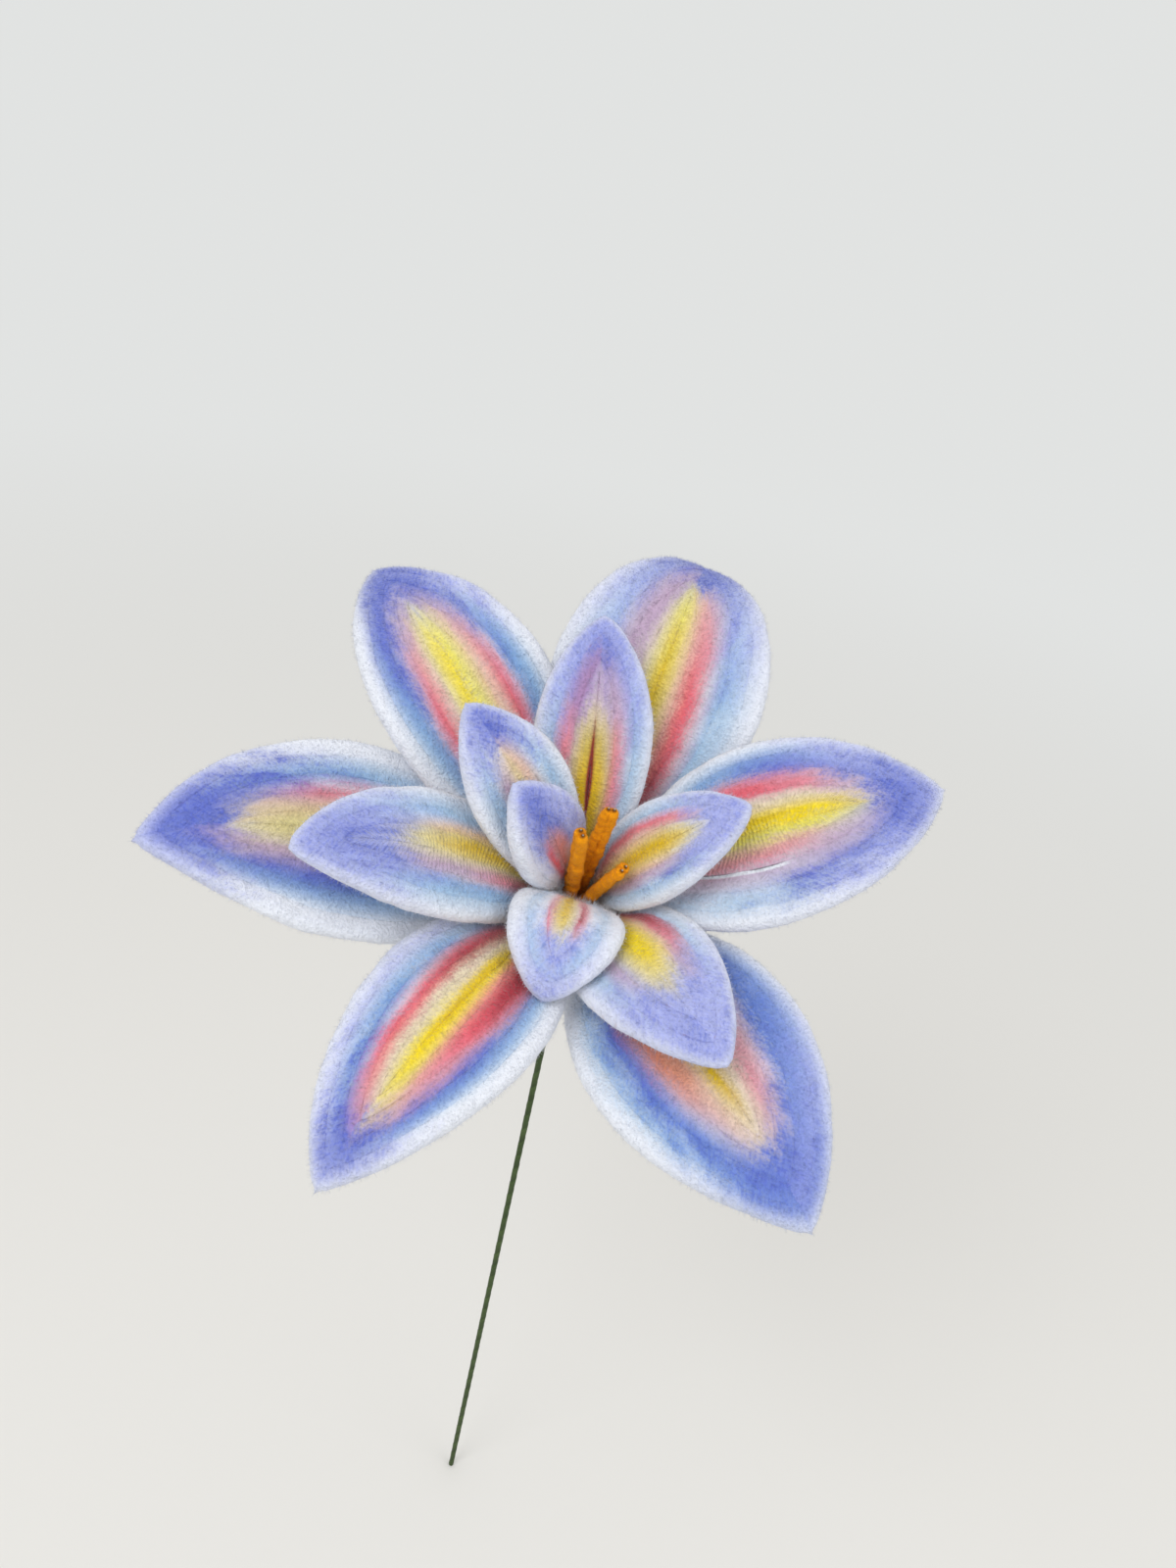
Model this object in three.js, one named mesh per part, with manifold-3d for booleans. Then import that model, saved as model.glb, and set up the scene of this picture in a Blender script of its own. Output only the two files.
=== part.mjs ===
import * as THREE from 'three';
import { ParametricGeometry } from 'three/addons/geometries/ParametricGeometry.js';
import { mergeVertices } from 'three/addons/utils/BufferGeometryUtils.js';
import Module from 'manifold-3d';

// Chenille stem amaryllis: thirteen petals, each of nested loops of chenille stem, round three
// orange stamens, bound with tape on a taped wire stem that bends forward under the flower.
// Millimetres, +Z up along the stem, origin at the centre of the stem's cut lower end.
// The flower faces -Y and up. Inside the head group +Z is the flower's own axis.

// Stem
const STEM_WIRE_RADIUS = 0.5;
const STEM_TAPE_WALL = 0.3;
const SLEEVE_CLEARANCE = 0.3;
const STEM_STRAIGHT_LENGTH = 300;
const NECK_BEND_RADIUS = 30;
const NECK_BEND_DEGREES = 33;
const HEAD_STALK_LENGTH = 24;
const STEM_TOP_BELOW_RIM = 8;

// Binding tape over the petal tails
const BINDING_WALL = 0.4;
const BINDING_RIM_DEPTH = 5.2;
const BINDING_SHOULDER_DEPTH = 18;
const PIECE_CLEARANCE = 0.3;

// Chenille of the petals
const CHENILLE_THICKNESS = 5.2;
const BASE_THICKNESS = 2.4;
const THINNING_LENGTH = 25;
const LOOP_GAP = 0.3;
const MIDRIB_SLIT = 0.1;
const SEAT_CLEARANCE = 0.4;
const TAIL_RADIUS = 0.8;
const TAIL_DEPTH = 17;

// The three whorls of petals: how they seat round the flower's axis and how their loops nest.
// Each loop's base and tip lie one pitch inside those of the loop round it.
// A fullness below 1 widens that end of the petal, above 1 it draws the end in.
const WHORLS = {
  outer: {
    colour: 0xa9b4e0, ring: 2, loops: 5, baseHalfWidth: 3.4, basePitch: 6, tipPitch: 6.4,
    baseFullness: 0.95, tipFullness: 0.88, stations: 24,
  },
  middle: {
    colour: 0xb9c6ea, ring: 1, loops: 3, baseHalfWidth: 3, basePitch: 6, tipPitch: 6.8,
    baseFullness: 0.95, tipFullness: 0.8, stations: 20,
  },
  inner: {
    colour: 0xc3c8ee, ring: 0, loops: 3, baseHalfWidth: 2.4, basePitch: 5, tipPitch: 5.6,
    baseFullness: 0.95, tipFullness: 0.8, stations: 18,
  },
};

// Length and width of a petal of each whorl, before the share that each petal takes of them
const OUTER_PETAL_LENGTH = 100;
const OUTER_PETAL_WIDTH = 50;
const MIDDLE_PETAL_LENGTH = 80;
const MIDDLE_PETAL_WIDTH = 40;
const INNER_PETAL_LENGTH = 50;
const INNER_PETAL_WIDTH = 25;

// Petals, with angles in degrees: azimuth about the flower's axis, sway of the azimuth by the
// tip, and rise of the midrib above the rim's plane at the base and at the tip. A bendPower
// above 1 keeps the bend for the tip. height is where the base stands along the axis. A petal
// may have a fullness of its own.
const PETALS = [
  { name: 'outer_petal_1', whorl: 'outer', azimuth: 180.5, sway: 32, baseRise: 33, tipRise: 6,
    bendPower: 1, height: -3,
    length: 1.16 * OUTER_PETAL_LENGTH, width: 1.15 * OUTER_PETAL_WIDTH },
  { name: 'outer_petal_2', whorl: 'outer', azimuth: 133, sway: 2, baseRise: 41, tipRise: -36,
    bendPower: 1.3, height: 2,
    length: 1.19 * OUTER_PETAL_LENGTH, width: 1.04 * OUTER_PETAL_WIDTH },
  { name: 'outer_petal_3', whorl: 'outer', azimuth: 80.5, sway: 0, baseRise: 30, tipRise: -75,
    bendPower: 3.5, height: -2,
    length: 1.19 * OUTER_PETAL_LENGTH, width: 1.28 * OUTER_PETAL_WIDTH },
  { name: 'outer_petal_4', whorl: 'outer', azimuth: 23.5, sway: 1, baseRise: 48, tipRise: -8,
    bendPower: 1, height: 3,
    length: 1.03 * OUTER_PETAL_LENGTH, width: 1.06 * OUTER_PETAL_WIDTH },
  { name: 'outer_petal_5', whorl: 'outer', azimuth: -44.5, sway: -9, baseRise: 34, tipRise: -6,
    bendPower: 1, height: -3,
    length: 1.03 * OUTER_PETAL_LENGTH, width: 1.22 * OUTER_PETAL_WIDTH, baseFullness: 0.8 },
  { name: 'outer_petal_6', whorl: 'outer', azimuth: -119, sway: 10, baseRise: 46,
    tipRise: -12, bendPower: 1, height: 2,
    length: 1.04 * OUTER_PETAL_LENGTH, width: 0.93 * OUTER_PETAL_WIDTH, baseFullness: 0.8 },
  { name: 'middle_petal_1', whorl: 'middle', azimuth: 188, sway: 24, baseRise: 56, tipRise: 18,
    bendPower: 1, height: 2,
    length: 1.08 * MIDDLE_PETAL_LENGTH, width: 0.9 * MIDDLE_PETAL_WIDTH },
  { name: 'middle_petal_2', whorl: 'middle', azimuth: 143, sway: 0, baseRise: 72, tipRise: 20,
    bendPower: 1, height: 7.5,
    length: 0.78 * MIDDLE_PETAL_LENGTH, width: 0.75 * MIDDLE_PETAL_WIDTH },
  { name: 'middle_petal_3', whorl: 'middle', azimuth: 97, sway: 0, baseRise: 55, tipRise: 11,
    bendPower: 1, height: 3.5,
    length: 0.97 * MIDDLE_PETAL_LENGTH, width: 0.85 * MIDDLE_PETAL_WIDTH },
  { name: 'middle_petal_4', whorl: 'middle', azimuth: -45.7, sway: 0, baseRise: 56, tipRise: 2,
    bendPower: 1, height: 3,
    length: 0.85 * MIDDLE_PETAL_LENGTH, width: 0.95 * MIDDLE_PETAL_WIDTH },
  { name: 'inner_petal_1', whorl: 'inner', azimuth: 152, sway: 0, baseRise: 84, tipRise: 40,
    bendPower: 1, height: 9,
    length: 0.88 * INNER_PETAL_LENGTH, width: INNER_PETAL_WIDTH },
  { name: 'inner_petal_2', whorl: 'inner', azimuth: 26, sway: 0, baseRise: 65, tipRise: 28,
    bendPower: 1, height: 6,
    length: 1.18 * INNER_PETAL_LENGTH, width: 1.12 * INNER_PETAL_WIDTH },
  { name: 'inner_petal_3', whorl: 'inner', azimuth: -95, sway: 0, baseRise: 88, tipRise: -42,
    bendPower: 1, height: 10,
    length: 0.88 * INNER_PETAL_LENGTH, width: 1.28 * INNER_PETAL_WIDTH },
];

// Stamens: a length of thin chenille folded double, both cut ends at the tip.
// The three seats are a third of a turn apart round the flower's axis.
const STAMEN_GAP = 0.4;
const STAMEN_CLEARANCE = 0.9;
const STAMEN_FOOT_DEPTH = 4;
const STAMEN_BEND_LENGTH = 8;
const STAMEN_STRAND_RADIUS = 1.05;
const STAMEN_STRAND_OFFSET = 0.8;
const STAMEN_WIRE_RADIUS = 0.25;
const STAMEN_WIRE_CLEARANCE = 0.2;
const STAMEN_WIRE_PROTRUSION = 0.4;
const STAMEN_FOOT_WALL = 0.5;
const STAMEN_LENGTH = 42;
const STAMENS = [
  { name: '1', seatAzimuth: 210, leanAzimuth: 96, rise: 82, length: STAMEN_LENGTH },
  { name: '2', seatAzimuth: 90, leanAzimuth: 70, rise: 71, length: STAMEN_LENGTH },
  { name: '3', seatAzimuth: -30, leanAzimuth: 10, rise: 72, length: 0.81 * STAMEN_LENGTH },
];

// Fineness of the curves, and the number of sides of each round section
const MIDRIB_STEPS = 60;
const NECK_STEPS = 5;
const TAIL_STEPS = 6;
const STAMEN_BEND_STEPS = 3;
const STAMEN_TURN_STEPS = 4;
const LOOP_SIDES = 6;
const TAIL_SIDES = 6;
const STEM_SIDES = 8;
const STAMEN_SIDES = 8;
const STAMEN_WIRE_SIDES = 6;
const BINDING_SIDES = 24;

// Share of a pitch that the midrib's slit reaches into the ends of the innermost loop, how
// suddenly a loop turns across its ends, and how closely its stations crowd towards them.
const SLIT_REACH = 0.4;
const END_TURN = 8;
const END_CROWDING = 0.55;

const PILE_ROUGHNESS = 0.95;
const TAPE_COLOUR = 0x2c4a25;
const TAPE_ROUGHNESS = 0.7;
const STAMEN_COLOUR = 0xd8860f;
const WIRE_COLOUR = 0xb2b2ad;
const WIRE_ROUGHNESS = 0.38;
const WIRE_METALNESS = 0.9;

const radians = THREE.MathUtils.degToRad;
const NECK_BEND = radians(NECK_BEND_DEGREES);
const STEM_BORE_RADIUS = STEM_WIRE_RADIUS + SLEEVE_CLEARANCE;
const STEM_OUTER_RADIUS = STEM_BORE_RADIUS + STEM_TAPE_WALL;

// Seats of three folded stamens whose nearest strands stay one gap apart.
const STAMEN_SEAT_RADIUS = (2 * STAMEN_STRAND_RADIUS + STAMEN_GAP + STAMEN_STRAND_OFFSET)
  / Math.sqrt(3);
const STAMENS_REACH = Math.hypot(STAMEN_SEAT_RADIUS, STAMEN_STRAND_OFFSET) + STAMEN_STRAND_RADIUS;

// Petal bases stand in rings round the stamens, and their tails in rings round the stem.
const seatRadius = (ring) => STAMENS_REACH + STAMEN_CLEARANCE + BASE_THICKNESS / 2
  + ring * (BASE_THICKNESS + SEAT_CLEARANCE);
const tailRing = (ring) => STEM_OUTER_RADIUS + PIECE_CLEARANCE + TAIL_RADIUS
  + ring * (2 * TAIL_RADIUS + PIECE_CLEARANCE);

const wasm = await Module();
wasm.setup();

function toSolid(geometry) {
  const bare = geometry.clone();
  bare.deleteAttribute('normal');
  bare.deleteAttribute('uv');
  const merged = mergeVertices(bare, 1e-4);
  return new wasm.Manifold(new wasm.Mesh({
    numProp: 3,
    vertProperties: new Float32Array(merged.attributes.position.array),
    triVerts: new Uint32Array(merged.index.array),
  }));
}

function toGeometry(solid) {
  const mesh = solid.getMesh();
  const geometry = new THREE.BufferGeometry();
  geometry.setAttribute('position', new THREE.BufferAttribute(mesh.vertProperties, 3));
  geometry.setIndex(new THREE.BufferAttribute(mesh.triVerts, 1));
  geometry.computeVertexNormals();
  return geometry;
}

const pile = (colour) => new THREE.MeshStandardMaterial({
  color: colour,
  roughness: PILE_ROUGHNESS,
});
const tape = new THREE.MeshStandardMaterial({ color: TAPE_COLOUR, roughness: TAPE_ROUGHNESS });
const steel = new THREE.MeshStandardMaterial({
  color: WIRE_COLOUR,
  roughness: WIRE_ROUGHNESS,
  metalness: WIRE_METALNESS,
});

function named(name, geometry, material) {
  const mesh = new THREE.Mesh(geometry, material);
  mesh.name = name;
  return mesh;
}

function disc(radius) {
  const shape = new THREE.Shape();
  shape.absarc(0, 0, radius, 0, 2 * Math.PI);
  return shape;
}

// A path through chosen stations, close together only where it bends.
class StationLine extends THREE.Curve {
  constructor(points) {
    super();
    this.points = points;
    this.steps = points.length - 1;
  }

  getUtoTmapping(u) {
    return u;
  }

  getPoint(t, target = new THREE.Vector3()) {
    const place = t * this.steps;
    const i = Math.min(Math.floor(place), this.steps - 1);
    return target.lerpVectors(this.points[i], this.points[i + 1], place - i);
  }
}

function alongPath(shape, path, steps, sides) {
  const options = { steps, curveSegments: sides / 2, bevelEnabled: false, extrudePath: path };
  return new THREE.ExtrudeGeometry(shape, options);
}

function rod(path, radius, steps, sides) {
  return alongPath(disc(radius), path, steps, sides);
}

function sleeve(path, outerRadius, innerRadius, steps, sides) {
  const ring = disc(outerRadius);
  const bore = new THREE.Path();
  bore.absarc(0, 0, innerRadius, 0, 2 * Math.PI, true);
  ring.holes.push(bore);
  return alongPath(ring, path, steps, sides);
}

// Direction from an azimuth about the flower's axis and a rise above the rim's plane.
function direction(azimuth, rise) {
  return new THREE.Vector3(
    Math.cos(rise) * Math.cos(azimuth),
    Math.cos(rise) * Math.sin(azimuth),
    Math.sin(rise),
  );
}

// The sheet that a petal's loops lie in: u runs along the midrib, v across it, n off its face.
class PetalSheet {
  constructor(spec) {
    Object.assign(this, WHORLS[spec.whorl], spec);
    this.step = this.length / MIDRIB_STEPS;
    const azimuth = radians(this.azimuth);
    const here = direction(azimuth, 0).multiplyScalar(seatRadius(this.ring));
    here.z += this.height;
    this.points = [here.clone()];
    for (let i = 0; i < MIDRIB_STEPS; i += 1) {
      here.addScaledVector(this.heading((i + 0.5) * this.step), this.step);
      this.points.push(here.clone());
    }
  }

  // Heading of the midrib at distance u from the base.
  heading(u) {
    const t = THREE.MathUtils.clamp(u / this.length, 0, 1);
    const rise = this.baseRise + (this.tipRise - this.baseRise) * t ** this.bendPower;
    return direction(radians(this.azimuth + this.sway * t * t), radians(rise));
  }

  // Half the sheet's thickness, thinner where the loops are pressed together at the base.
  halfThickness(u) {
    const full = THREE.MathUtils.smoothstep(u, 0, THINNING_LENGTH);
    return (BASE_THICKNESS + (CHENILLE_THICKNESS - BASE_THICKNESS) * full) / 2;
  }

  // Point of the sheet in the head group's space. n grows towards the petal's back.
  at(u, v, n) {
    const place = THREE.MathUtils.clamp(u / this.step, 0, MIDRIB_STEPS);
    const i = Math.min(Math.floor(place), MIDRIB_STEPS - 1);
    const rib = this.points[i].clone().lerp(this.points[i + 1], place - i);
    const along = this.heading(u);
    const azimuth = radians(this.azimuth + this.sway * (u / this.length) ** 2);
    const across = new THREE.Vector3(-Math.sin(azimuth), Math.cos(azimuth), 0);
    across.addScaledVector(along, -across.dot(along)).normalize();
    const off = new THREE.Vector3().crossVectors(along, across).negate();
    return rib.addScaledVector(across, v).addScaledVector(off, n);
  }

  // Half width at share t of the way from a loop's base to its tip, for the petal's outline.
  halfWidth(t) {
    const a = this.baseFullness;
    const b = this.tipFullness;
    const peak = a / (a + b);
    const swell = (t ** a * (1 - t) ** b) / (peak ** a * (1 - peak) ** b);
    const most = this.width / 2 - this.baseHalfWidth * (1 - peak);
    return this.baseHalfWidth * (1 - t) + most * swell;
  }

  // Point of the closed line round the outside of a loop, turn running from 0 to 1 from the
  // base up one side to the tip and down the other. Line 0 is the slit along the midrib.
  outline(loop, turn) {
    const pitches = loop === 0 ? this.loops - SLIT_REACH : this.loops - loop;
    const start = pitches * this.basePitch;
    const end = this.length - pitches * this.tipPitch;
    const way = turn < 0.5 ? 2 * turn : 2 - 2 * turn;
    const t = way - (END_CROWDING * Math.sin(2 * Math.PI * way)) / (2 * Math.PI);
    const side = THREE.MathUtils.clamp(END_TURN * Math.sin(2 * Math.PI * turn), -1, 1);
    const slit = (MIDRIB_SLIT / 2) * (1 - (2 * t - 1) ** 4);
    const half = loop === 0 ? slit : (this.halfWidth(t) * loop) / this.loops;
    return new THREE.Vector2(start + (end - start) * t, side * half);
  }

  // One loop of chenille: a closed ring that fills the way between two nested outlines, less
  // half a gap at each. Its flat-topped section is as thick as the sheet.
  loopGeometry(loop) {
    const flatTop = Math.sin((2 * Math.PI) / LOOP_SIDES);
    const place = (turn, round, target) => {
      const inside = this.outline(loop - 1, turn);
      const outside = this.outline(loop, turn);
      const wide = outside.distanceTo(inside);
      const angle = 2 * Math.PI * round;
      const share = 0.5 + Math.cos(angle) * (0.5 - LOOP_GAP / 2 / wide);
      const { x: u, y: v } = inside.lerp(outside, share);
      target.copy(this.at(u, v, (this.halfThickness(u) * Math.sin(angle)) / flatTop));
    };
    return new ParametricGeometry(place, this.stations, LOOP_SIDES);
  }

  // The twisted tail by which the outermost loop is bound to the stem.
  tailGeometry() {
    const azimuth = radians(this.azimuth);
    const end = direction(azimuth, 0).multiplyScalar(tailRing(this.ring));
    end.z = -TAIL_DEPTH;
    const seat = this.at(0, 0, 0);
    const insideLoop = this.at(this.basePitch / 2, 0, 0);
    const path = new THREE.CatmullRomCurve3([insideLoop, seat, seat.clone().lerp(end, 0.5), end]);
    return rod(path, TAIL_RADIUS, TAIL_STEPS, TAIL_SIDES);
  }
}

function petalMeshes(spec) {
  const sheet = new PetalSheet(spec);
  const material = pile(sheet.colour);
  const meshes = [];
  for (let loop = 1; loop <= sheet.loops; loop += 1) {
    let geometry = sheet.loopGeometry(loop);
    if (loop === sheet.loops) {
      geometry = toGeometry(toSolid(geometry).add(toSolid(sheet.tailGeometry())));
    }
    meshes.push(named(`${spec.name}_loop_${loop}`, geometry, material));
  }
  return meshes;
}

// Centre line of one strand of a stamen: upright out of the binding, then leaning to the tip.
// rise is measured from the rim's plane, along the strand.
function strandPoint(spec, side, rise) {
  const up = new THREE.Vector3(0, 0, 1);
  const lean = direction(radians(spec.leanAzimuth), radians(spec.rise));
  const point = direction(radians(spec.seatAzimuth), 0).multiplyScalar(STAMEN_SEAT_RADIUS);
  point.addScaledVector(direction(radians(spec.seatAzimuth + 90), 0), side * STAMEN_STRAND_OFFSET);
  if (rise <= 0) return point.addScaledVector(up, rise);
  const bent = Math.min(rise, STAMEN_BEND_LENGTH);
  const leaning = bent ** 2 / (2 * STAMEN_BEND_LENGTH);
  return point.addScaledVector(up, bent - leaning)
    .addScaledVector(lean, leaning + rise - bent);
}

function strandPoints(spec, side, from, to) {
  const rises = [from];
  for (let i = 0; i <= STAMEN_BEND_STEPS; i += 1) {
    rises.push((i * STAMEN_BEND_LENGTH) / STAMEN_BEND_STEPS);
  }
  rises.push(to);
  return rises.map((rise) => strandPoint(spec, side, rise));
}

// The folded wire runs down one strand, turns at the foot and comes up the other.
function stamenWireLine(spec) {
  const tip = spec.length + STAMEN_WIRE_PROTRUSION;
  const [left, right] = [-1, 1].map((side) => strandPoints(spec, side, -STAMEN_FOOT_DEPTH, tip));
  const middle = left[0].clone().lerp(right[0], 0.5);
  const turn = [];
  for (let i = 1; i < STAMEN_TURN_STEPS; i += 1) {
    const angle = (i * Math.PI) / STAMEN_TURN_STEPS;
    const point = middle.clone().lerp(right[0], -Math.cos(angle));
    point.z -= STAMEN_STRAND_OFFSET * Math.sin(angle);
    turn.push(point);
  }
  return new StationLine([...left.reverse(), ...turn, ...right]);
}

function stamenMeshes(spec) {
  const bore = STAMEN_WIRE_RADIUS + STAMEN_WIRE_CLEARANCE;
  const below = STAMEN_FOOT_DEPTH + STAMEN_STRAND_OFFSET + bore + STAMEN_FOOT_WALL;
  const strands = [-1, 1].map((side) => {
    const line = new StationLine(strandPoints(spec, side, -below, spec.length));
    return toSolid(rod(line, STAMEN_STRAND_RADIUS, line.steps, STAMEN_SIDES));
  });
  const wireLine = stamenWireLine(spec);
  const tunnel = toSolid(rod(wireLine, bore, wireLine.steps, STAMEN_WIRE_SIDES));
  const folded = strands[0].add(strands[1]).subtract(tunnel);
  const wire = rod(wireLine, STAMEN_WIRE_RADIUS, wireLine.steps, STAMEN_WIRE_SIDES);
  return [
    named(`stamen_pile_${spec.name}`, toGeometry(folded), pile(STAMEN_COLOUR)),
    named(`stamen_wire_${spec.name}`, wire, steel),
  ];
}

// Centre line of the stem: straight, bent forward at the neck, straight again into the flower.
function stemLine(pastBend) {
  const points = [new THREE.Vector3()];
  for (let i = 0; i <= NECK_STEPS; i += 1) {
    const turned = (i / NECK_STEPS) * NECK_BEND;
    points.push(new THREE.Vector3(
      0,
      -NECK_BEND_RADIUS * (1 - Math.cos(turned)),
      STEM_STRAIGHT_LENGTH + NECK_BEND_RADIUS * Math.sin(turned),
    ));
  }
  const end = points.at(-1).clone();
  end.y -= pastBend * Math.sin(NECK_BEND);
  end.z += pastBend * Math.cos(NECK_BEND);
  return new StationLine([...points, end]);
}

function stemMeshes() {
  const line = stemLine(HEAD_STALK_LENGTH - STEM_TOP_BELOW_RIM);
  const wire = rod(line, STEM_WIRE_RADIUS, line.steps, STEM_SIDES);
  const wrap = sleeve(line, STEM_OUTER_RADIUS, STEM_BORE_RADIUS, line.steps, STEM_SIDES);
  return [named('stem_wire', wire, steel), named('stem_tape', wrap, tape)];
}

// Tape wound round the tails: a cup that draws in from the petals to the stem.
function bindingMesh() {
  const rim = seatRadius(WHORLS.outer.ring) + TAIL_RADIUS + PIECE_CLEARANCE;
  const shoulder = tailRing(WHORLS.outer.ring) + TAIL_RADIUS + PIECE_CLEARANCE;
  const neck = STEM_OUTER_RADIUS + PIECE_CLEARANCE;
  const inside = [
    new THREE.Vector2(neck, -HEAD_STALK_LENGTH),
    new THREE.Vector2(neck, -BINDING_SHOULDER_DEPTH - shoulder / 2),
    new THREE.Vector2(shoulder, -BINDING_SHOULDER_DEPTH),
    new THREE.Vector2(rim, -BINDING_RIM_DEPTH),
  ];
  const outside = inside.map((point) => new THREE.Vector2(point.x + BINDING_WALL, point.y));
  const profile = [...outside, ...inside.reverse(), outside[0].clone()];
  const geometry = new THREE.LatheGeometry(profile, BINDING_SIDES);
  geometry.rotateX(Math.PI / 2);
  return named('binding_tape', geometry, tape);
}

const head = new THREE.Group();
head.position.copy(stemLine(HEAD_STALK_LENGTH).getPoint(1));
head.rotation.x = NECK_BEND;
head.add(bindingMesh(), ...PETALS.flatMap(petalMeshes), ...STAMENS.flatMap(stamenMeshes));

const amaryllis = new THREE.Group();
amaryllis.add(...stemMeshes(), head);

export default amaryllis;
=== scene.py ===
"""Looks of a chenille stem amaryllis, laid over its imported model."""

import math

import bpy
import numpy as np
from bpy.props import FloatProperty, FloatVectorProperty, IntProperty, PointerProperty
from mathutils import Matrix


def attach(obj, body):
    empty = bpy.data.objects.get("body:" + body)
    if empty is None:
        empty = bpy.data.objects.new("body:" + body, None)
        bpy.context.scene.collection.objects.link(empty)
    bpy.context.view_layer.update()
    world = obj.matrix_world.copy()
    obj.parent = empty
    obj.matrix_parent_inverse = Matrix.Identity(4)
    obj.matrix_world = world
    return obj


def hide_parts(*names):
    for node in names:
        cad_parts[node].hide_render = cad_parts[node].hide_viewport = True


bl_info = {
    "name": "Chenille stem amaryllis",
    "version": (1, 0, 0),
    "blender": (4, 5, 0),
    "location": "View3D > Sidebar > Amaryllis",
    "description": "Plush petals, stamens, taped stem and stage of a chenille stem amaryllis",
    "category": "Object",
}

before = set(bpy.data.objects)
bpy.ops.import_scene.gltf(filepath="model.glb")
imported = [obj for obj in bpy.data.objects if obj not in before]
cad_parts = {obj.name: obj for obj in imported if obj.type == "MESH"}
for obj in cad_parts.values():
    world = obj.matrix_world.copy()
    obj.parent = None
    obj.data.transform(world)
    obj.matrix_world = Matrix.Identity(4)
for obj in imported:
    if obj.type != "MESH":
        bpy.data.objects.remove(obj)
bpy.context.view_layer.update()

MM = 0.001
BAKE_MAP = "OFBake"

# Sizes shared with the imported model, in millimetres. The flower has an axis of its own, which the
# neck tips forward, and its centre is where that axis meets the petals' seats.
NECK_BEND = math.radians(33)
NECK_SIN, NECK_COS = math.sin(NECK_BEND), math.cos(NECK_BEND)
NECK_BEND_RADIUS = 30
STEM_STRAIGHT = 300
STEM_RADIUS = 1.0
HEAD_STALK = 24
STEM_TOP_BELOW_RIM = 8
HEAD_TURN = np.array([[1, 0, 0], [0, NECK_COS, -NECK_SIN], [0, NECK_SIN, NECK_COS]])
HEAD_CENTRE = np.array([
    0, -NECK_BEND_RADIUS * (1 - NECK_COS) - HEAD_STALK * NECK_SIN,
    STEM_STRAIGHT + NECK_BEND_RADIUS * NECK_SIN + HEAD_STALK * NECK_COS])

CHENILLE_THICKNESS = 5.2
BASE_THICKNESS = 2.4
THINNING_LENGTH = 25
INNERMOST_SEAT_RADIUS = 5.2
SEAT_STEP = 2.8
TAIL_RING_RADIUS = 2.2
TAIL_RING_STEP = 1.9
TAIL_DEPTH = 17
TAIL_PILE_RADIUS = 1.7
TAIL_BOUND_RADIUS = 0.9
BINDING_RIM_DEPTH = 5.2
STAMEN_SEAT_RADIUS = 1.9
STAMEN_STRAND_OFFSET = 0.8
STAMEN_BEND_LENGTH = 8
STAMEN_FOOT = 5.5
BINDING_PROFILE = ((1.4, -24), (1.4, -21.4), (6.9, -18), (11.9, -5.2))
BINDING_WALL = 0.4

# Sizes of the looks alone, in millimetres, but for the radians of a stamen's waves and the share of
# its edge that a turn of the binding starts below
STAMEN_PILE_RADIUS = 1.7
STAMEN_WANDER = 0.45
STAMEN_WAVES = 7
STEM_CUT_RADIUS = 0.52
STEM_TAPE_PITCH = 7.0
STEM_TAPE_EDGE = 0.10
STEM_CREASES = 0.012
BINDING_PITCH = 4.0
BINDING_EDGE = 0.34
BINDING_SINK = 0.3

# Whorls of petals, and the numbers that shape a leaf: its half width at the base, the pitch of its
# loops at the base and the tip, and how full it is near each of them.
WHORLS = {
    "outer": {
        "ring": 2, "loops": 5, "base_half": 3.4, "base_pitch": 6, "tip_pitch": 6.4,
        "base_full": 0.95, "tip_full": 0.88,
    },
    "middle": {
        "ring": 1, "loops": 3, "base_half": 3, "base_pitch": 6, "tip_pitch": 6.8,
        "base_full": 0.95, "tip_full": 0.8,
    },
    "inner": {
        "ring": 0, "loops": 3, "base_half": 2.4, "base_pitch": 5, "tip_pitch": 5.6,
        "base_full": 0.95, "tip_full": 0.8,
    },
}

# The kinds of unevenness, and how much of each goes into what it disturbs: the line where the two
# sides of a petal meet, the place of a coat across and along the petal, its strength, where dye
# gathers, and how light the pile is.
UNEVENNESS = {
    "midrib": {"brushed": 0.08, "grain": 0.08},
    "across": {"streaks": 0.06, "blots": 0.10, "brushed": 0.04, "grain": 0.08, "flecks": 0.04},
    "along": {"streaks": 0.05, "blots": 0.16, "brushed": 0.04, "grain": 0.06},
    "strength": {"blots": 0.8, "brushed": 0.45, "grain": 0.5},
    "gathering": {"blots": 0.7, "brushed": 0.9, "streaks": 0.6, "tufts": 0.5, "grain": 0.4},
    "lightness": {"grain": 0.44, "tufts": 0.36, "brushed": 0.24},
}

# Brush strokes fan out from the midrib. In cells of noise to a millimetre along the petal and one
# across it: down a stroke, and from one stroke to the next.
DOWN_STROKES = (0.19, 0.22)
OVER_STROKES = (-0.95, 1.12)

# Dyes that gather in patches to indigo, and how far they turn to it there
GATHERING = {"violet": 0.75, "blue": 0.35, "lavender": 0.36}
GATHERS_BETWEEN = (-0.08, 0.30)

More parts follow.
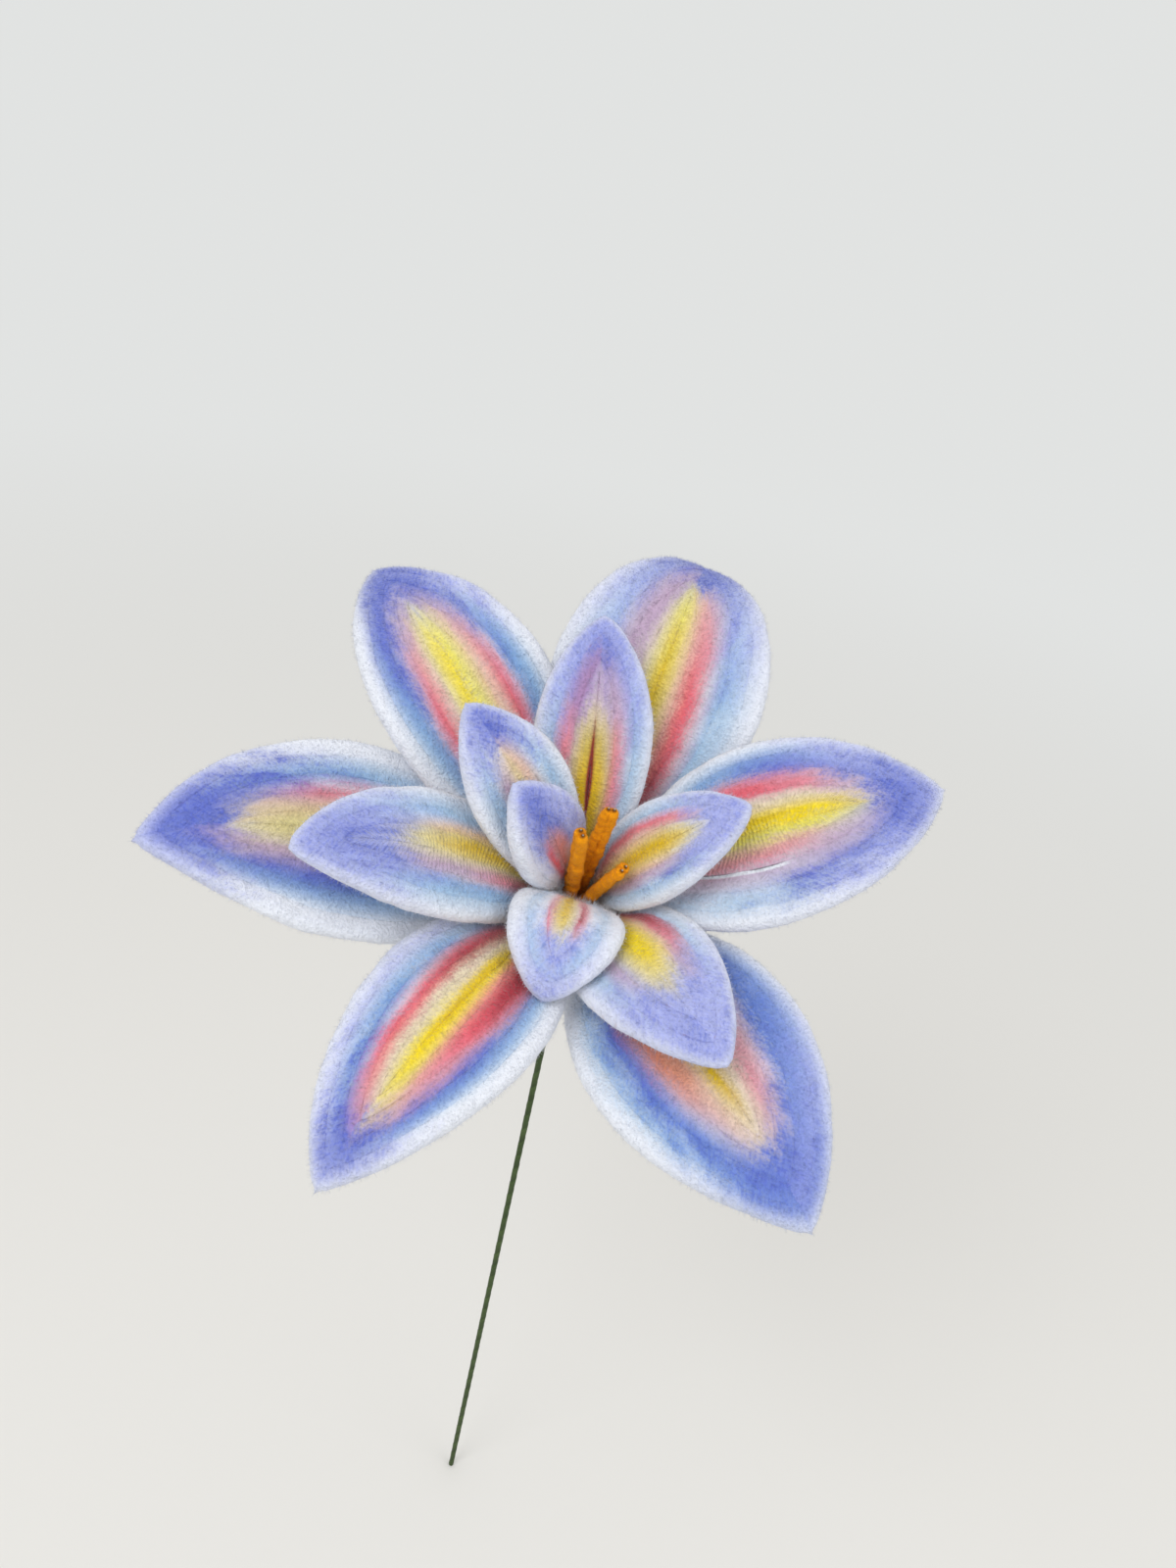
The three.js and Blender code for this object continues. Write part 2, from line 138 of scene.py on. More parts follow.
# Coats of dye, one over another: the dye; from and to along the petal, its place across the petal
# at those two ends, its reach to either side and its strength, all in hundredths; and whether it is
# brushed on one side or on both alike. Along the petal 0 is the base and 100 the tip. Across it 0
# is the midrib, 100 the anticlockwise rim as the flower is faced, and -100 the other rim.
ONE, BOTH = False, True
COATS = {
    "outer_petal_1": (
        ("sky", 0, 90, 62, 62, 19, 90, BOTH),
        ("azure", 0, 80, 52, 56, 20, 80, ONE),
        ("azure", 30, 80, -60, -60, 12, 50, ONE),
        ("violet", 60, 100, -36, -60, 50, 100, ONE),
        ("violet", 45, 97, 40, 42, 28, 100, ONE),
        ("violet", 80, 100, 40, 60, 60, 100, BOTH),
        ("lavender", 84, 100, 100, 95, 18, 80, BOTH),
        ("cream", 0, 75, 0, 0, 36, 90, BOTH),
        ("mauve", 0, 82, 26, 30, 18, 80, ONE),
        ("rose", 0, 66, -48, -36, 17, 100, ONE),
        ("peach", 0, 71, -30, -14, 18, 90, ONE),
        ("straw", 0, 73, 0, 0, 28, 100, BOTH)),
    "outer_petal_2": (
        ("sky", 0, 75, 66, 66, 20, 90, BOTH),
        ("azure", 0, 66, 60, 62, 15, 90, BOTH),
        ("lavender", 66, 100, -80, -80, 40, 80, ONE),
        ("violet", 55, 95, 60, 66, 26, 100, ONE),
        ("violet", 60, 95, -50, -50, 24, 80, ONE),
        ("violet", 74, 99, 20, 60, 50, 80, BOTH),
        ("mauve", 30, 80, 40, 24, 24, 90, BOTH),
        ("rose", 0, 66, 44, 30, 18, 100, BOTH),
        ("red", 0, 52, 42, 40, 12, 70, BOTH),
        ("cream", 0, 69, 14, 10, 24, 100, BOTH),
        ("peach", 0, 65, -26, -18, 14, 70, ONE),
        ("lemon", 0, 71, 5, 4, 18, 90, BOTH),
        ("yellow", 0, 64, 7, 5, 12, 60, ONE)),
    "outer_petal_3": (
        ("sky", 0, 95, 62, 62, 26, 80, BOTH),
        ("azure", 50, 95, -55, -55, 20, 70, ONE),
        ("lavender", 60, 100, 50, 60, 55, 80, BOTH),
        ("violet", 72, 97, 20, 40, 45, 80, BOTH),
        ("cream", 0, 75, 10, 10, 36, 90, BOTH),
        ("mauve", 25, 84, 38, 32, 22, 90, ONE),
        ("rose", 0, 74, -36, -26, 22, 90, ONE),
        ("red", 0, 58, -32, -28, 14, 90, ONE),
        ("crimson", 0, 30, -36, -30, 16, 80, ONE),
        ("peach", 0, 71, -14, -10, 18, 90, ONE),
        ("lemon", 0, 77, 2, 0, 16, 90, BOTH),
        ("gold", 0, 62, 0, 0, 10, 80, BOTH)),
    "outer_petal_4": (
        ("sky", 0, 60, -68, -70, 22, 60, ONE),
        ("sky", 0, 75, 74, 74, 20, 90, ONE),
        ("azure", 0, 60, 70, 70, 14, 80, ONE),
        ("violet", 50, 92, -60, -60, 30, 90, ONE),
        ("violet", 44, 95, 66, 62, 22, 90, ONE),
        ("lavender", 64, 100, 85, 70, 35, 80, BOTH),
        ("violet", 72, 94, 20, 50, 50, 80, BOTH),
        ("cream", 0, 71, 0, 0, 42, 90, BOTH),
        ("mauve", 0, 76, 50, 34, 20, 70, BOTH),
        ("rose", 0, 68, 54, 42, 18, 100, ONE),
        ("red", 0, 56, 52, 46, 13, 80, ONE),
        ("rose", 0, 60, -30, -22, 15, 90, ONE),
        ("cream", 0, 71, 30, 24, 12, 100, ONE),
        ("peach", 0, 57, -20, -16, 12, 70, ONE),
        ("lemon", 0, 71, -6, -4, 14, 100, ONE),
        ("yellow", 0, 72, 12, 8, 16, 100, ONE),
        ("gold", 0, 56, 14, 10, 6, 60, ONE)),
    "outer_petal_5": (
        ("sky", 0, 90, -70, -74, 20, 80, ONE),
        ("blue", 0, 95, -55, -62, 20, 90, ONE),
        ("violet", 0, 55, -50, -50, 12, 70, ONE),
        ("sky", 0, 70, 78, 78, 16, 70, ONE),
        ("blue", 0, 98, 64, 70, 28, 100, ONE),
        ("blue", 72, 99, 40, 60, 60, 90, BOTH),
        ("lavender", 55, 100, 85, 70, 26, 60, ONE),
        ("violet", 72, 94, 30, 40, 40, 60, BOTH),
        ("cream", 0, 73, 0, 0, 34, 90, BOTH),
        ("mauve", 0, 70, -42, -30, 16, 80, ONE),
        ("rose", 0, 72, 42, 24, 22, 75, ONE),
        ("rust", 0, 60, -30, -24, 24, 100, ONE),
        ("peach", 50, 73, -22, -14, 18, 80, ONE),
        ("cream", 0, 73, 4, 4, 16, 90, BOTH),
        ("gold", 0, 64, -8, -4, 12, 100, ONE)),
    "outer_petal_6": (
        ("sky", 0, 86, 66, 68, 17, 80, BOTH),
        ("lavender", 84, 100, 80, 70, 34, 70, BOTH),
        ("lavender", 30, 100, -86, -80, 20, 50, ONE),
        ("azure", 0, 78, 58, 62, 16, 90, ONE),
        ("azure", 30, 84, -60, -58, 14, 80, ONE),
        ("violet", 44, 95, 50, 54, 22, 90, ONE),
        ("violet", 60, 95, -44, -48, 26, 80, ONE),
        ("violet", 78, 94, 20, 50, 42, 70, BOTH),
        ("mauve", 0, 82, 44, 36, 18, 80, ONE),
        ("cream", 0, 75, -4, -2, 36, 100, BOTH),
        ("rose", 0, 80, -42, -30, 20, 100, ONE),
        ("red", 0, 70, -40, -32, 14, 90, ONE),
        ("rose", 0, 74, 28, 26, 24, 100, ONE),
        ("red", 0, 56, 30, 28, 20, 100, ONE),
        ("crimson", 0, 42, 34, 34, 26, 100, BOTH),
        ("salmon", 0, 66, 12, 16, 12, 80, ONE),
        ("cream", 0, 73, -24, -14, 17, 100, ONE),
        ("straw", 50, 77, -2, 10, 22, 80, ONE),
        ("lemon", 50, 71, -4, 8, 14, 90, ONE),
        ("yellow", 0, 68, -8, 5, 15, 100, ONE),
        ("gold", 0, 56, -6, 0, 9, 80, ONE)),
    "middle_petal_1": (
        ("sky", 0, 90, 58, 60, 32, 90, BOTH),
        ("azure", 0, 70, 44, 46, 20, 60, ONE),
        ("lavender", 64, 100, 30, 60, 80, 90, BOTH),
        ("lavender", 45, 85, 10, 10, 42, 80, BOTH),
        ("violet", 60, 92, 15, 30, 40, 45, BOTH),
        ("cream", 0, 58, 0, 0, 36, 80, BOTH),
        ("mauve", 0, 62, 18, 22, 22, 90, ONE),
        ("rose", 0, 36, 20, 20, 20, 90, ONE),
        ("crimson", 0, 24, 10, 10, 20, 70, ONE),
        ("peach", 0, 56, -48, -34, 18, 90, ONE),
        ("straw", 0, 63, -16, -12, 30, 100, ONE),
        ("gold", 0, 50, -20, -16, 22, 90, ONE)),
    "middle_petal_2": (
        ("sky", 0, 90, 60, 60, 28, 80, BOTH),
        ("lavender", 70, 100, 40, 60, 70, 100, BOTH),
        ("violet", 72, 97, -40, -40, 35, 80, ONE),
        ("violet", 78, 97, 20, 40, 30, 70, BOTH),
        ("cream", 0, 73, 4, 4, 34, 90, BOTH),
        ("mauve", 0, 66, 34, 26, 20, 90, ONE),
        ("rose", 0, 56, 28, 24, 14, 50, ONE),
        ("peach", 0, 75, -18, -12, 26, 80, ONE),
        ("straw", 30, 71, -6, -4, 12, 60, ONE)),
    "middle_petal_3": (
        ("sky", 0, 80, 68, 68, 26, 80, BOTH),
        ("azure", 56, 88, -62, -62, 18, 80, ONE),
        ("lavender", 56, 100, 30, 60, 80, 100, BOTH),
        ("violet", 70, 92, 25, 30, 32, 70, BOTH),
        ("mauve", 40, 82, 0, 0, 34, 80, BOTH),
        ("cream", 0, 64, 0, 0, 44, 90, BOTH),
        ("mauve", 0, 76, -46, -36, 24, 90, ONE),
        ("rose", 0, 58, -42, -38, 16, 90, ONE),
        ("purple", 40, 84, 48, 30, 24, 90, ONE),
        ("rose", 0, 60, 50, 46, 16, 100, ONE),
        ("olive", 0, 58, 4, 4, 32, 100, BOTH),
        ("gold", 0, 46, 10, 10, 24, 90, BOTH)),
    "middle_petal_4": (
        ("sky", 0, 80, 64, 62, 26, 80, BOTH),
        ("lavender", 52, 100, 40, 60, 75, 100, BOTH),
        ("violet", 56, 90, -20, -20, 35, 50, ONE),
        ("lavender", 45, 80, 10, 10, 40, 80, BOTH),
        ("cream", 0, 57, 10, 10, 40, 90, ONE),
        ("mauve", 0, 54, -46, -40, 18, 80, ONE),
        ("mauve", 0, 62, 56, 46, 18, 80, ONE),
        ("rose", 0, 50, 58, 50, 17, 100, ONE),
        ("crimson", 0, 38, 60, 56, 12, 90, ONE),
        ("peach", 0, 50, 36, 32, 14, 70, ONE),
        ("straw", 0, 61, 2, 0, 30, 100, BOTH),
        ("yellow", 0, 50, 10, 10, 30, 100, ONE)),
    "inner_petal_1": (
        ("lavender", 30, 100, -30, -40, 100, 100, ONE),
        ("lavender", 50, 100, 20, 50, 50, 100, BOTH),
        ("violet", 42, 94, 0, 0, 46, 90, ONE),
        ("mauve", 0, 60, 10, 10, 34, 90, ONE),
        ("salmon", 0, 56, -10, -6, 26, 90, ONE),
        ("peach", 0, 40, -32, -28, 20, 80, ONE),
        ("red", 0, 52, 28, 22, 13, 90, ONE)),
    "inner_petal_2": (
        ("sky", 0, 80, 70, 68, 26, 80, BOTH),
        ("violet", 48, 84, -56, -50, 20, 80, ONE),
        ("lavender", 64, 100, 40, 60, 70, 100, BOTH),
        ("cream", 0, 61, 0, 0, 44, 90, BOTH),
        ("mauve", 0, 60, -46, -40, 18, 80, ONE),
        ("rose", 0, 70, 54, 44, 18, 100, ONE),
        ("red", 20, 60, 56, 50, 8, 50, ONE),
        ("peach", 0, 59, 32, 28, 20, 90, ONE),
        ("peach", 0, 55, -30, -26, 14, 80, ONE),
        ("straw", 0, 71, -4, 0, 32, 100, BOTH),
        ("gold", 0, 62, 0, 0, 28, 100, BOTH)),
    "inner_petal_3": (
        ("lavender", 50, 100, 20, 40, 60, 80, BOTH),
        ("violet", 56, 84, 10, 20, 34, 20, BOTH),
        ("sky", 0, 80, 62, 60, 18, 50, BOTH),
        ("cream", 0, 55, 0, 0, 30, 90, BOTH),
        ("rose", 0, 56, 28, 24, 14, 70, BOTH),
        ("straw", 0, 57, -6, -6, 20, 100, ONE),
        ("gold", 0, 52, -8, -8, 16, 80, ONE),
        ("crimson", 36, 54, 24, 20, 6, 100, ONE),
        ("red", 44, 60, -32, -28, 5, 70, ONE)),
}

# Petals, in degrees and millimetres: the way each points round the flower's axis, and how far
# it sways from that towards its tip; how steeply it rises at its base and its tip, and how late
# it bends; its length and width, and the height of its seat. Then what its midrib and seams show,
# with how strong the painted shade is in gaps along its seams.
PETALS = (
    dict(name="outer_petal_1", whorl="outer", azimuth=180.5, sway=32, base_rise=33, tip_rise=6,
         length=116, width=57.5, height=-3, seam_hole_shade=0.3),
    dict(name="outer_petal_2", whorl="outer", azimuth=133, sway=2, base_rise=41, tip_rise=-36,
         bend=1.3, length=119, width=52, height=2),
    dict(name="outer_petal_3", whorl="outer", azimuth=80.5, base_rise=30, tip_rise=-75,
         bend=3.5, length=119, width=64, height=-2),
    dict(name="outer_petal_4", whorl="outer", azimuth=23.5, sway=1, base_rise=48, tip_rise=-8,
         length=103, width=53, height=3, ribs=1.0, open_seam=True),
    dict(name="outer_petal_5", whorl="outer", azimuth=-44.5, sway=-9, base_rise=34, tip_rise=-6,
         length=103, width=61, height=-3, base_full=0.8),
    dict(name="outer_petal_6", whorl="outer", azimuth=-119, sway=10, base_rise=46, tip_rise=-12,
         length=104, width=46.5, height=2, base_full=0.8, seam_hole_shade=0.3),
    dict(name="middle_petal_1", whorl="middle", azimuth=188, sway=24, base_rise=56, tip_rise=18,
         length=86.4, width=36, height=2, ribs=0.8),
    dict(name="middle_petal_2", whorl="middle", azimuth=143, base_rise=72, tip_rise=20,
         length=62.4, width=30, height=7.5, seam_hole_shade=0.6),
    dict(name="middle_petal_3", whorl="middle", azimuth=97, base_rise=55, tip_rise=11,
         length=77.6, width=34, height=3.5, slit=1.0, seam_hole_shade=1.0),
    dict(name="middle_petal_4", whorl="middle", azimuth=-45.7, base_rise=56, tip_rise=2,
         length=68, width=38, height=3, base_full=0.7, seam_hole_shade=0.8),
    dict(name="inner_petal_1", whorl="inner", azimuth=152, base_rise=84, tip_rise=40,
         length=44, width=25, height=9),
    dict(name="inner_petal_2", whorl="inner", azimuth=26, base_rise=65, tip_rise=28,
         length=59, width=28, height=6, base_full=0.78),
    dict(name="inner_petal_3", whorl="inner", azimuth=-95, base_rise=88, tip_rise=-42,
         length=44, width=32, height=10, base_full=0.72),
)
COMMON = dict(sway=0, bend=1, slit=0.1, open_seam=False, ribs=0.3, seam_hole_shade=0.0)

STAMENS = (
    dict(name="1", seat=210, lean=96, rise=82, length=42),
    dict(name="2", seat=90, lean=70, rise=71, length=42),
    dict(name="3", seat=-30, lean=10, rise=72, length=34),
)

# Seeds of the random draws
SEEDS_PER_PETAL = 100
STAMEN_SEED = 900
STEM_SEED = 7

# Outlines of loops: the steps of a midrib; the most rows of a ring primitive; how far the midrib's
# gap runs into the innermost loop's ends, in pitches; the width past which that gap shows; and how
# sharply an outline turns at its ends and how much its points crowd there.
MIDRIB_STEPS = 120
MOST_RING_ROWS = 256
SLIT_REACH = 0.4
OPEN_SLIT = 0.5
SLIT_OPENS = (0.0, 0.3)
SLIT_CLOSES = (0.34, 0.62)
END_TURN = 8
END_CROWDING = 0.55
TIP_THINS_FROM = 0.9
TIP_THINNING = 0.35

# A strand's section: how far neighbours press into one another and how high the floor of an open
# slit lies, as shares of its width; and its squareness where it is pressed and where it is free.
PRESSED = 0.13
SLIT_FLOOR = 0.34
SQUARE_SIDE = 10.0
ROUND_SIDE = 2.2

# The pile's unevenness: how long, how wide and how high its lumps are, and how high its waves
LUMPS = ((2.4, 2.0, 0.5), (6, 5, 0.8))
WAVE_HEIGHT = 0.35

COMBED_LEAN = 0.30
FIBRE_STRAY = 0.38
FIBRE_LENGTHS = (0.55, 1.35)
FIBRE_RADII = (0.7, 1.2)
ROOT_DEPTH = 2.5
HIDDEN_FROM = 0.93
RIM_THINNING = 0.55
BASE_REACH = (0.04, 0.2)
BASE_FIBRES = {"outer": 1.6, "middle": 2.4, "inner": 3.4}
RIM_FROM = 0.93
RIM_EXTRA = 0.3
# How far the tips of fibres at the rims are paled towards white, as painted light on the rims' fuzz
RIM_TIP_PAINTED_LIGHT = 0.3
TAIL_CROWDING = 1.6
STAMEN_DENSITY = 9

# Shares of a map, and of a strip of it, that are left free at their edges
MAP_EDGES = (0.01, 0.02)


def size(label, millimetres, description, **limits):
    return FloatProperty(
        name=label, description=description, default=millimetres * MM, subtype="DISTANCE",
        unit="LENGTH", precision=5, **limits)


def dye(label, red, green, blue):
    return FloatVectorProperty(
        name=label, description=f"Colour of the {label.lower()}", subtype="COLOR_GAMMA",
        size=3, min=0, max=1, default=(red, green, blue))


class AmaryllisSizes(bpy.types.PropertyGroup):
    """Sizes of the plush surface that a user would change."""

    row_spacing: size("Row spacing", 0.8, "Distance between rows of the plush mesh", min=0.3 * MM)
    section_sides: IntProperty(
        name="Section sides", description="Points round the section of one petal's strand",
        default=22, min=8)
    crown: size("Crown", 0.15, "How far the middle of a strand stands over its seams")
    lumps: size("Lumps", 0.13, "Height of the soft unevenness of the pile")
    fibre_length: size("Fibre length", 0.95, "Mean length of the fibres of the petals")
    fibre_radius: size("Fibre radius", 0.06, "Radius of a fibre's root")
    fibre_density: FloatProperty(
        name="Fibre density", description="Fibres on each square millimetre of a petal's pile",
        default=2.9, min=0)
    stamen_fibre_length: size("Stamen fibre length", 0.5, "Mean length of the stamens' fibres")


class AmaryllisColours(bpy.types.PropertyGroup):
    """Colours of the dyes, the tape, the wire and the stage."""

    white: dye("Undyed pile", 0.90, 0.915, 0.95)
    sky: dye("Sky blue dye", 0.63, 0.76, 0.88)
    azure: dye("Azure dye", 0.46, 0.62, 0.82)
    blue: dye("Blue dye", 0.40, 0.52, 0.82)
    violet: dye("Violet dye", 0.40, 0.46, 0.79)
    indigo: dye("Indigo where blue dyes gather", 0.28, 0.35, 0.72)
    lavender: dye("Lavender dye", 0.66, 0.69, 0.90)
    mauve: dye("Mauve dye", 0.73, 0.63, 0.74)
    purple: dye("Purple dye", 0.66, 0.52, 0.70)
    rose: dye("Rose dye", 0.86, 0.54, 0.60)
    salmon: dye("Salmon dye", 0.89, 0.56, 0.52)
    rust: dye("Rust dye", 0.86, 0.49, 0.35)
    red: dye("Red dye", 0.88, 0.35, 0.41)
    crimson: dye("Crimson dye", 0.66, 0.18, 0.24)
    # A painted shadow line beside the seam that has come open
    shadow: dye("Shadow in an open seam", 0.50, 0.50, 0.52)
    # Maroon of the red dye inside the midrib's slit, painted dark as shade there; in gaps along the
    # seams it is painted shade alone
    maroon: dye("Maroon inside of a slit", 0.56, 0.13, 0.06)
    peach: dye("Peach dye", 0.88, 0.72, 0.64)
    cream: dye("Cream dye", 0.88, 0.82, 0.72)
    straw: dye("Straw dye", 0.87, 0.82, 0.58)
    lemon: dye("Lemon dye", 0.89, 0.86, 0.42)
    yellow: dye("Yellow dye", 0.94, 0.84, 0.05)
    gold: dye("Gold dye", 0.85, 0.71, 0.06)
    olive: dye("Olive dye", 0.78, 0.70, 0.36)
    orange: dye("Orange pile", 0.92, 0.59, 0.03)
    # Umber is painted darker towards a stamen's base, and as painted shade where its two strands
    # press together
    umber: dye("Umber shade of the stamens", 0.74, 0.38, 0.02)
    # Painted shade in the hole at a stamen's cut end
    cut_end_shade: dye("Cut end of a stamen", 0.42, 0.22, 0.06)
    leaf: dye("Green tape", 0.19, 0.27, 0.09)
    moss: dye("Stains of the green tape", 0.3035, 0.381, 0.206)
    steel: dye("Steel wire", 0.70, 0.70, 0.68)
    soot: dye("Scratches of the steel wire", 0.537, 0.527, 0.506)
    floor: dye("Floor", 0.882, 0.878, 0.864)
    backdrop: dye("Backdrop", 0.884, 0.890, 0.886)


def linear(colour):
    """A colour as written on screen, in the renderer's own linear values."""
    return tuple(c / 12.92 if c <= 0.04045 else ((c + 0.055) / 1.055) ** 2.4 for c in colour)


def colour(name):
    """One of the set colours, as a socket takes it."""
    return (*linear(getattr(bpy.context.scene.amaryllis_colours, name)), 1.0)


class Line:
    """A node's output that takes part in sums as a number does."""

    def __init__(self, graph, socket):
        self.graph = graph
        self.socket = socket

    def maths(self, operation, *terms):
        """An operation on the terms, or else on this line alone."""
        return self.graph.node(
            "ShaderNodeMath", {"operation": operation}, dict(enumerate(terms or (self,))))

    def __add__(self, other):
        return self.maths("ADD", self, other)

    def __radd__(self, other):
        return self.maths("ADD", other, self)

    def __sub__(self, other):
        return self.maths("SUBTRACT", self, other)

    def __rsub__(self, other):
        return self.maths("SUBTRACT", other, self)

    def __mul__(self, other):
        return self.maths("MULTIPLY", self, other)

    def __rmul__(self, other):
        return self.maths("MULTIPLY", other, self)

    def away(self, place):
        """Distance from a place."""
        return (self - place).maths("ABSOLUTE")

    def step(self, low, high):
        """0 below low, 1 above high, and smooth between them."""
        return self.graph.node(
            "ShaderNodeMapRange", {"interpolation_type": "SMOOTHSTEP"},
            {"Value": self, "From Min": low, "From Max": high})


class Graph:
    """The nodes of one material, or of the world."""

    def __init__(self, owner, output="ShaderNodeOutputMaterial"):
        owner.use_nodes = True
        self.owner = owner
        self.output = output
        self.tree = owner.node_tree
        self.tree.nodes.clear()

    def node(self, kind, settings=None, sockets=None, out=0):
        """Adds a node: its settings first, then the values or links of its sockets."""
        made = self.tree.nodes.new(kind)
        for key, value in (settings or {}).items():
            setattr(made, key, value)
        for key, value in (sockets or {}).items():
            if isinstance(value, Line):
                self.tree.links.new(value.socket, made.inputs[key])
            else:
                made.inputs[key].default_value = value
        return Line(self, made.outputs[out]) if made.outputs else None

    def mix(self, first, second, share):
        """Colour first turned into colour second by share."""
        return self.node(
            "ShaderNodeMix", {"data_type": "RGBA"}, {0: share, 6: first, 7: second}, out=2)

    def dimmed(self, tint, shade):
        return self.node(
            "ShaderNodeVectorMath", {"operation": "SCALE"}, {0: tint, "Scale": shade})

    def split(self, vector):
        """The three numbers of a vector."""
        return [self.node("ShaderNodeSeparateXYZ", {}, {0: vector}, out=i) for i in range(3)]

    def attribute(self, name):
        return self.node("ShaderNodeAttribute", {"attribute_name": name}, out="Vector")

    def place(self):
        return self.node("ShaderNodeTexCoord", out="Object")

    def noise(self, vector, scale, detail):
        return self.node(
            "ShaderNodeTexNoise", {}, {"Vector": vector, "Scale": scale, "Detail": detail}, out=0)

    def flat(self, x, y):
        """The vector of two numbers."""
        return self.node("ShaderNodeCombineXYZ", {}, {0: x, 1: y})

    def scaled(self, vector, factors):
        return self.node(
            "ShaderNodeVectorMath", {"operation": "MULTIPLY"}, {0: vector, 1: factors})

    def bump(self, height, strength, distance):
        return self.node("ShaderNodeBump", {}, {
            "Height": height, "Strength": strength, "Distance": distance * MM})

    def principled(self, sockets):
        return self.finish(self.node("ShaderNodeBsdfPrincipled", {}, sockets))

    def finish(self, shader):
        self.node(self.output, {}, {"Surface": shader})
        return self.owner


def stretch(line, low, high, soft):
    """1 between low and high, falling to 0 over soft past each. The base and tip are no edge."""
    mask = 1
    if low > 0:
        mask = line.step(low - soft, low + soft)
    if high < 1:
        mask = mask * (1 - line.step(high - soft * 0.6, high + soft * 0.6))
    return mask


class PetalDye(Graph):
    """The chenille pile of one petal with its coats of dye, brushed along it from its base."""

    # Cells of noise over the petal's length, half width and loops, and then to a metre
    STREAK_CELLS = (9.0, 30.0, 30.0)
    BLOT_CELLS = (10.0, 5.0, 5.0)
    GRAIN_CELLS = 1400.0
    TUFT_CELLS = 560.0

    # A coat's soft ends, the reaches at which its edge starts and stops fading, and its strength.
    # Near the midrib a coat keeps to straight lines more than it follows the loops.
    END_SOFTNESS = 0.16
    FADES_FROM = -0.02
    FADES_TO = 1.35
    MEAN_STRENGTH = 1.1
    MOST_STRAIGHT = 0.8
    STRAIGHT_WITHIN = 1.2

    def __init__(self, spec):
        super().__init__(bpy.data.materials.new(f"{spec['name']}_dyed_pile"))
        self.spec = spec
        lie = self.attribute("lie")
        self.along, self.side, self.across = self.split(lie)
        self.face, self.fleck, self.run = self.split(self.attribute("pile"))
        down = self.along * spec["length"]
        over = self.side.away(0) * (spec["width"] / 2)
        strokes = self.flat(*(down * a + over * b for a, b in (DOWN_STROKES, OVER_STROKES)))
        place = self.place()
        self.kinds = {
            "streaks": self.noise(self.scaled(lie, self.STREAK_CELLS), 1.0, 3.0),
            "blots": self.noise(self.scaled(lie, self.BLOT_CELLS), 1.0, 2.0),
            "brushed": self.noise(strokes, 1.0, 3.0),
            "grain": self.noise(place, self.GRAIN_CELLS, 2.0),
            "tufts": self.noise(place, self.TUFT_CELLS, 3.0),
            "flecks": self.fleck,
        }
        self.kinds = {kind: line - 0.5 for kind, line in self.kinds.items()}
        self.facing = (self.side + self.uneven("midrib")).maths("SIGN")

    def uneven(self, disturbed):
        """What all kinds of unevenness together add to one thing, 0 on average."""
        return sum(self.kinds[kind] * much for kind, much in UNEVENNESS[disturbed].items())

    def coats(self):
        """The colour under every coat of dye, and how much of the pile is left bare."""
        stray = self.uneven("across")
        t = self.along + self.uneven("along")
        patchy = self.uneven("strength") + self.MEAN_STRENGTH
        soaking = self.uneven("gathering").step(*GATHERS_BETWEEN)
        tint = colour("white")
        bare = 1.0
        for name, *hundredths, alike in COATS[self.spec["name"]]:
            low, high, first, last, reach, strength = (n / 100 for n in hundredths)
            lean = (last - first) / (high - low)
            straight = self.MOST_STRAIGHT * max(0, 1 - abs(first + last) / self.STRAIGHT_WITHIN)
            over = self.across * (1 - straight) + self.side.away(0) * straight
            off = (over if alike else over * self.facing) + stray - t * lean
            edge = off.away(first - low * lean).step(self.FADES_FROM, reach * self.FADES_TO)
            ends = stretch(t, low, high, self.END_SOFTNESS)
            mask = (1 - edge) * patchy * ends * strength
            mask = self.node("ShaderNodeClamp", {}, {"Value": mask})
            tint = self.mix(tint, colour(name), mask)
            if name in GATHERING:
                tint = self.mix(tint, colour("indigo"), mask * soaking * GATHERING[name])
            bare = (1 - mask) * bare
        return tint, bare

    def seams(self, tint):
        """Painted shade in gaps along the seams between loops, and the seam that has come open,
        with a painted shadow beside it.
        """
        from_seam = (self.across * self.spec["loops"] + 0.5).maths("FRACT").away(0.5)
        patches = self.noise(self.flat(self.run * 0.55, self.across * 9), 1.0, 2.0)
        # Painted shade: maroon darkening in gaps along the seams between loops
        painted_hole_shade = (1 - from_seam.step(0.0, 0.10)) * patches.step(0.56, 0.66) * self.spec["seam_hole_shade"]
        tint = self.mix(tint, colour("maroon"), painted_hole_shade * 0.45)
        if self.spec["open_seam"]:
            half = self.across * self.facing
            parted = stretch(self.along + self.kinds["grain"] * 0.05, 0.26, 0.52, 0.05)
            # In the open seam the white undyed pile shows, with a grey painted shadow line beside
            # it
            for name, middle, edge in (
                    ("white", -0.425, (0.012, 0.03)), ("shadow", -0.393, (0.0, 0.016))):
                tint = self.mix(tint, colour(name), (1 - half.away(middle).step(*edge)) * parted)
        return tint

    def slit(self, tint):
        """The dark inside of the slit along the midrib: maroon dye with painted shade."""
        inside = (1 - self.across.step(0.02, 0.08)) * (1 - self.face.step(0.9, 1.05))
        return self.mix(tint, colour("maroon"), inside * (1 - self.along.step(0.52, 0.64)))

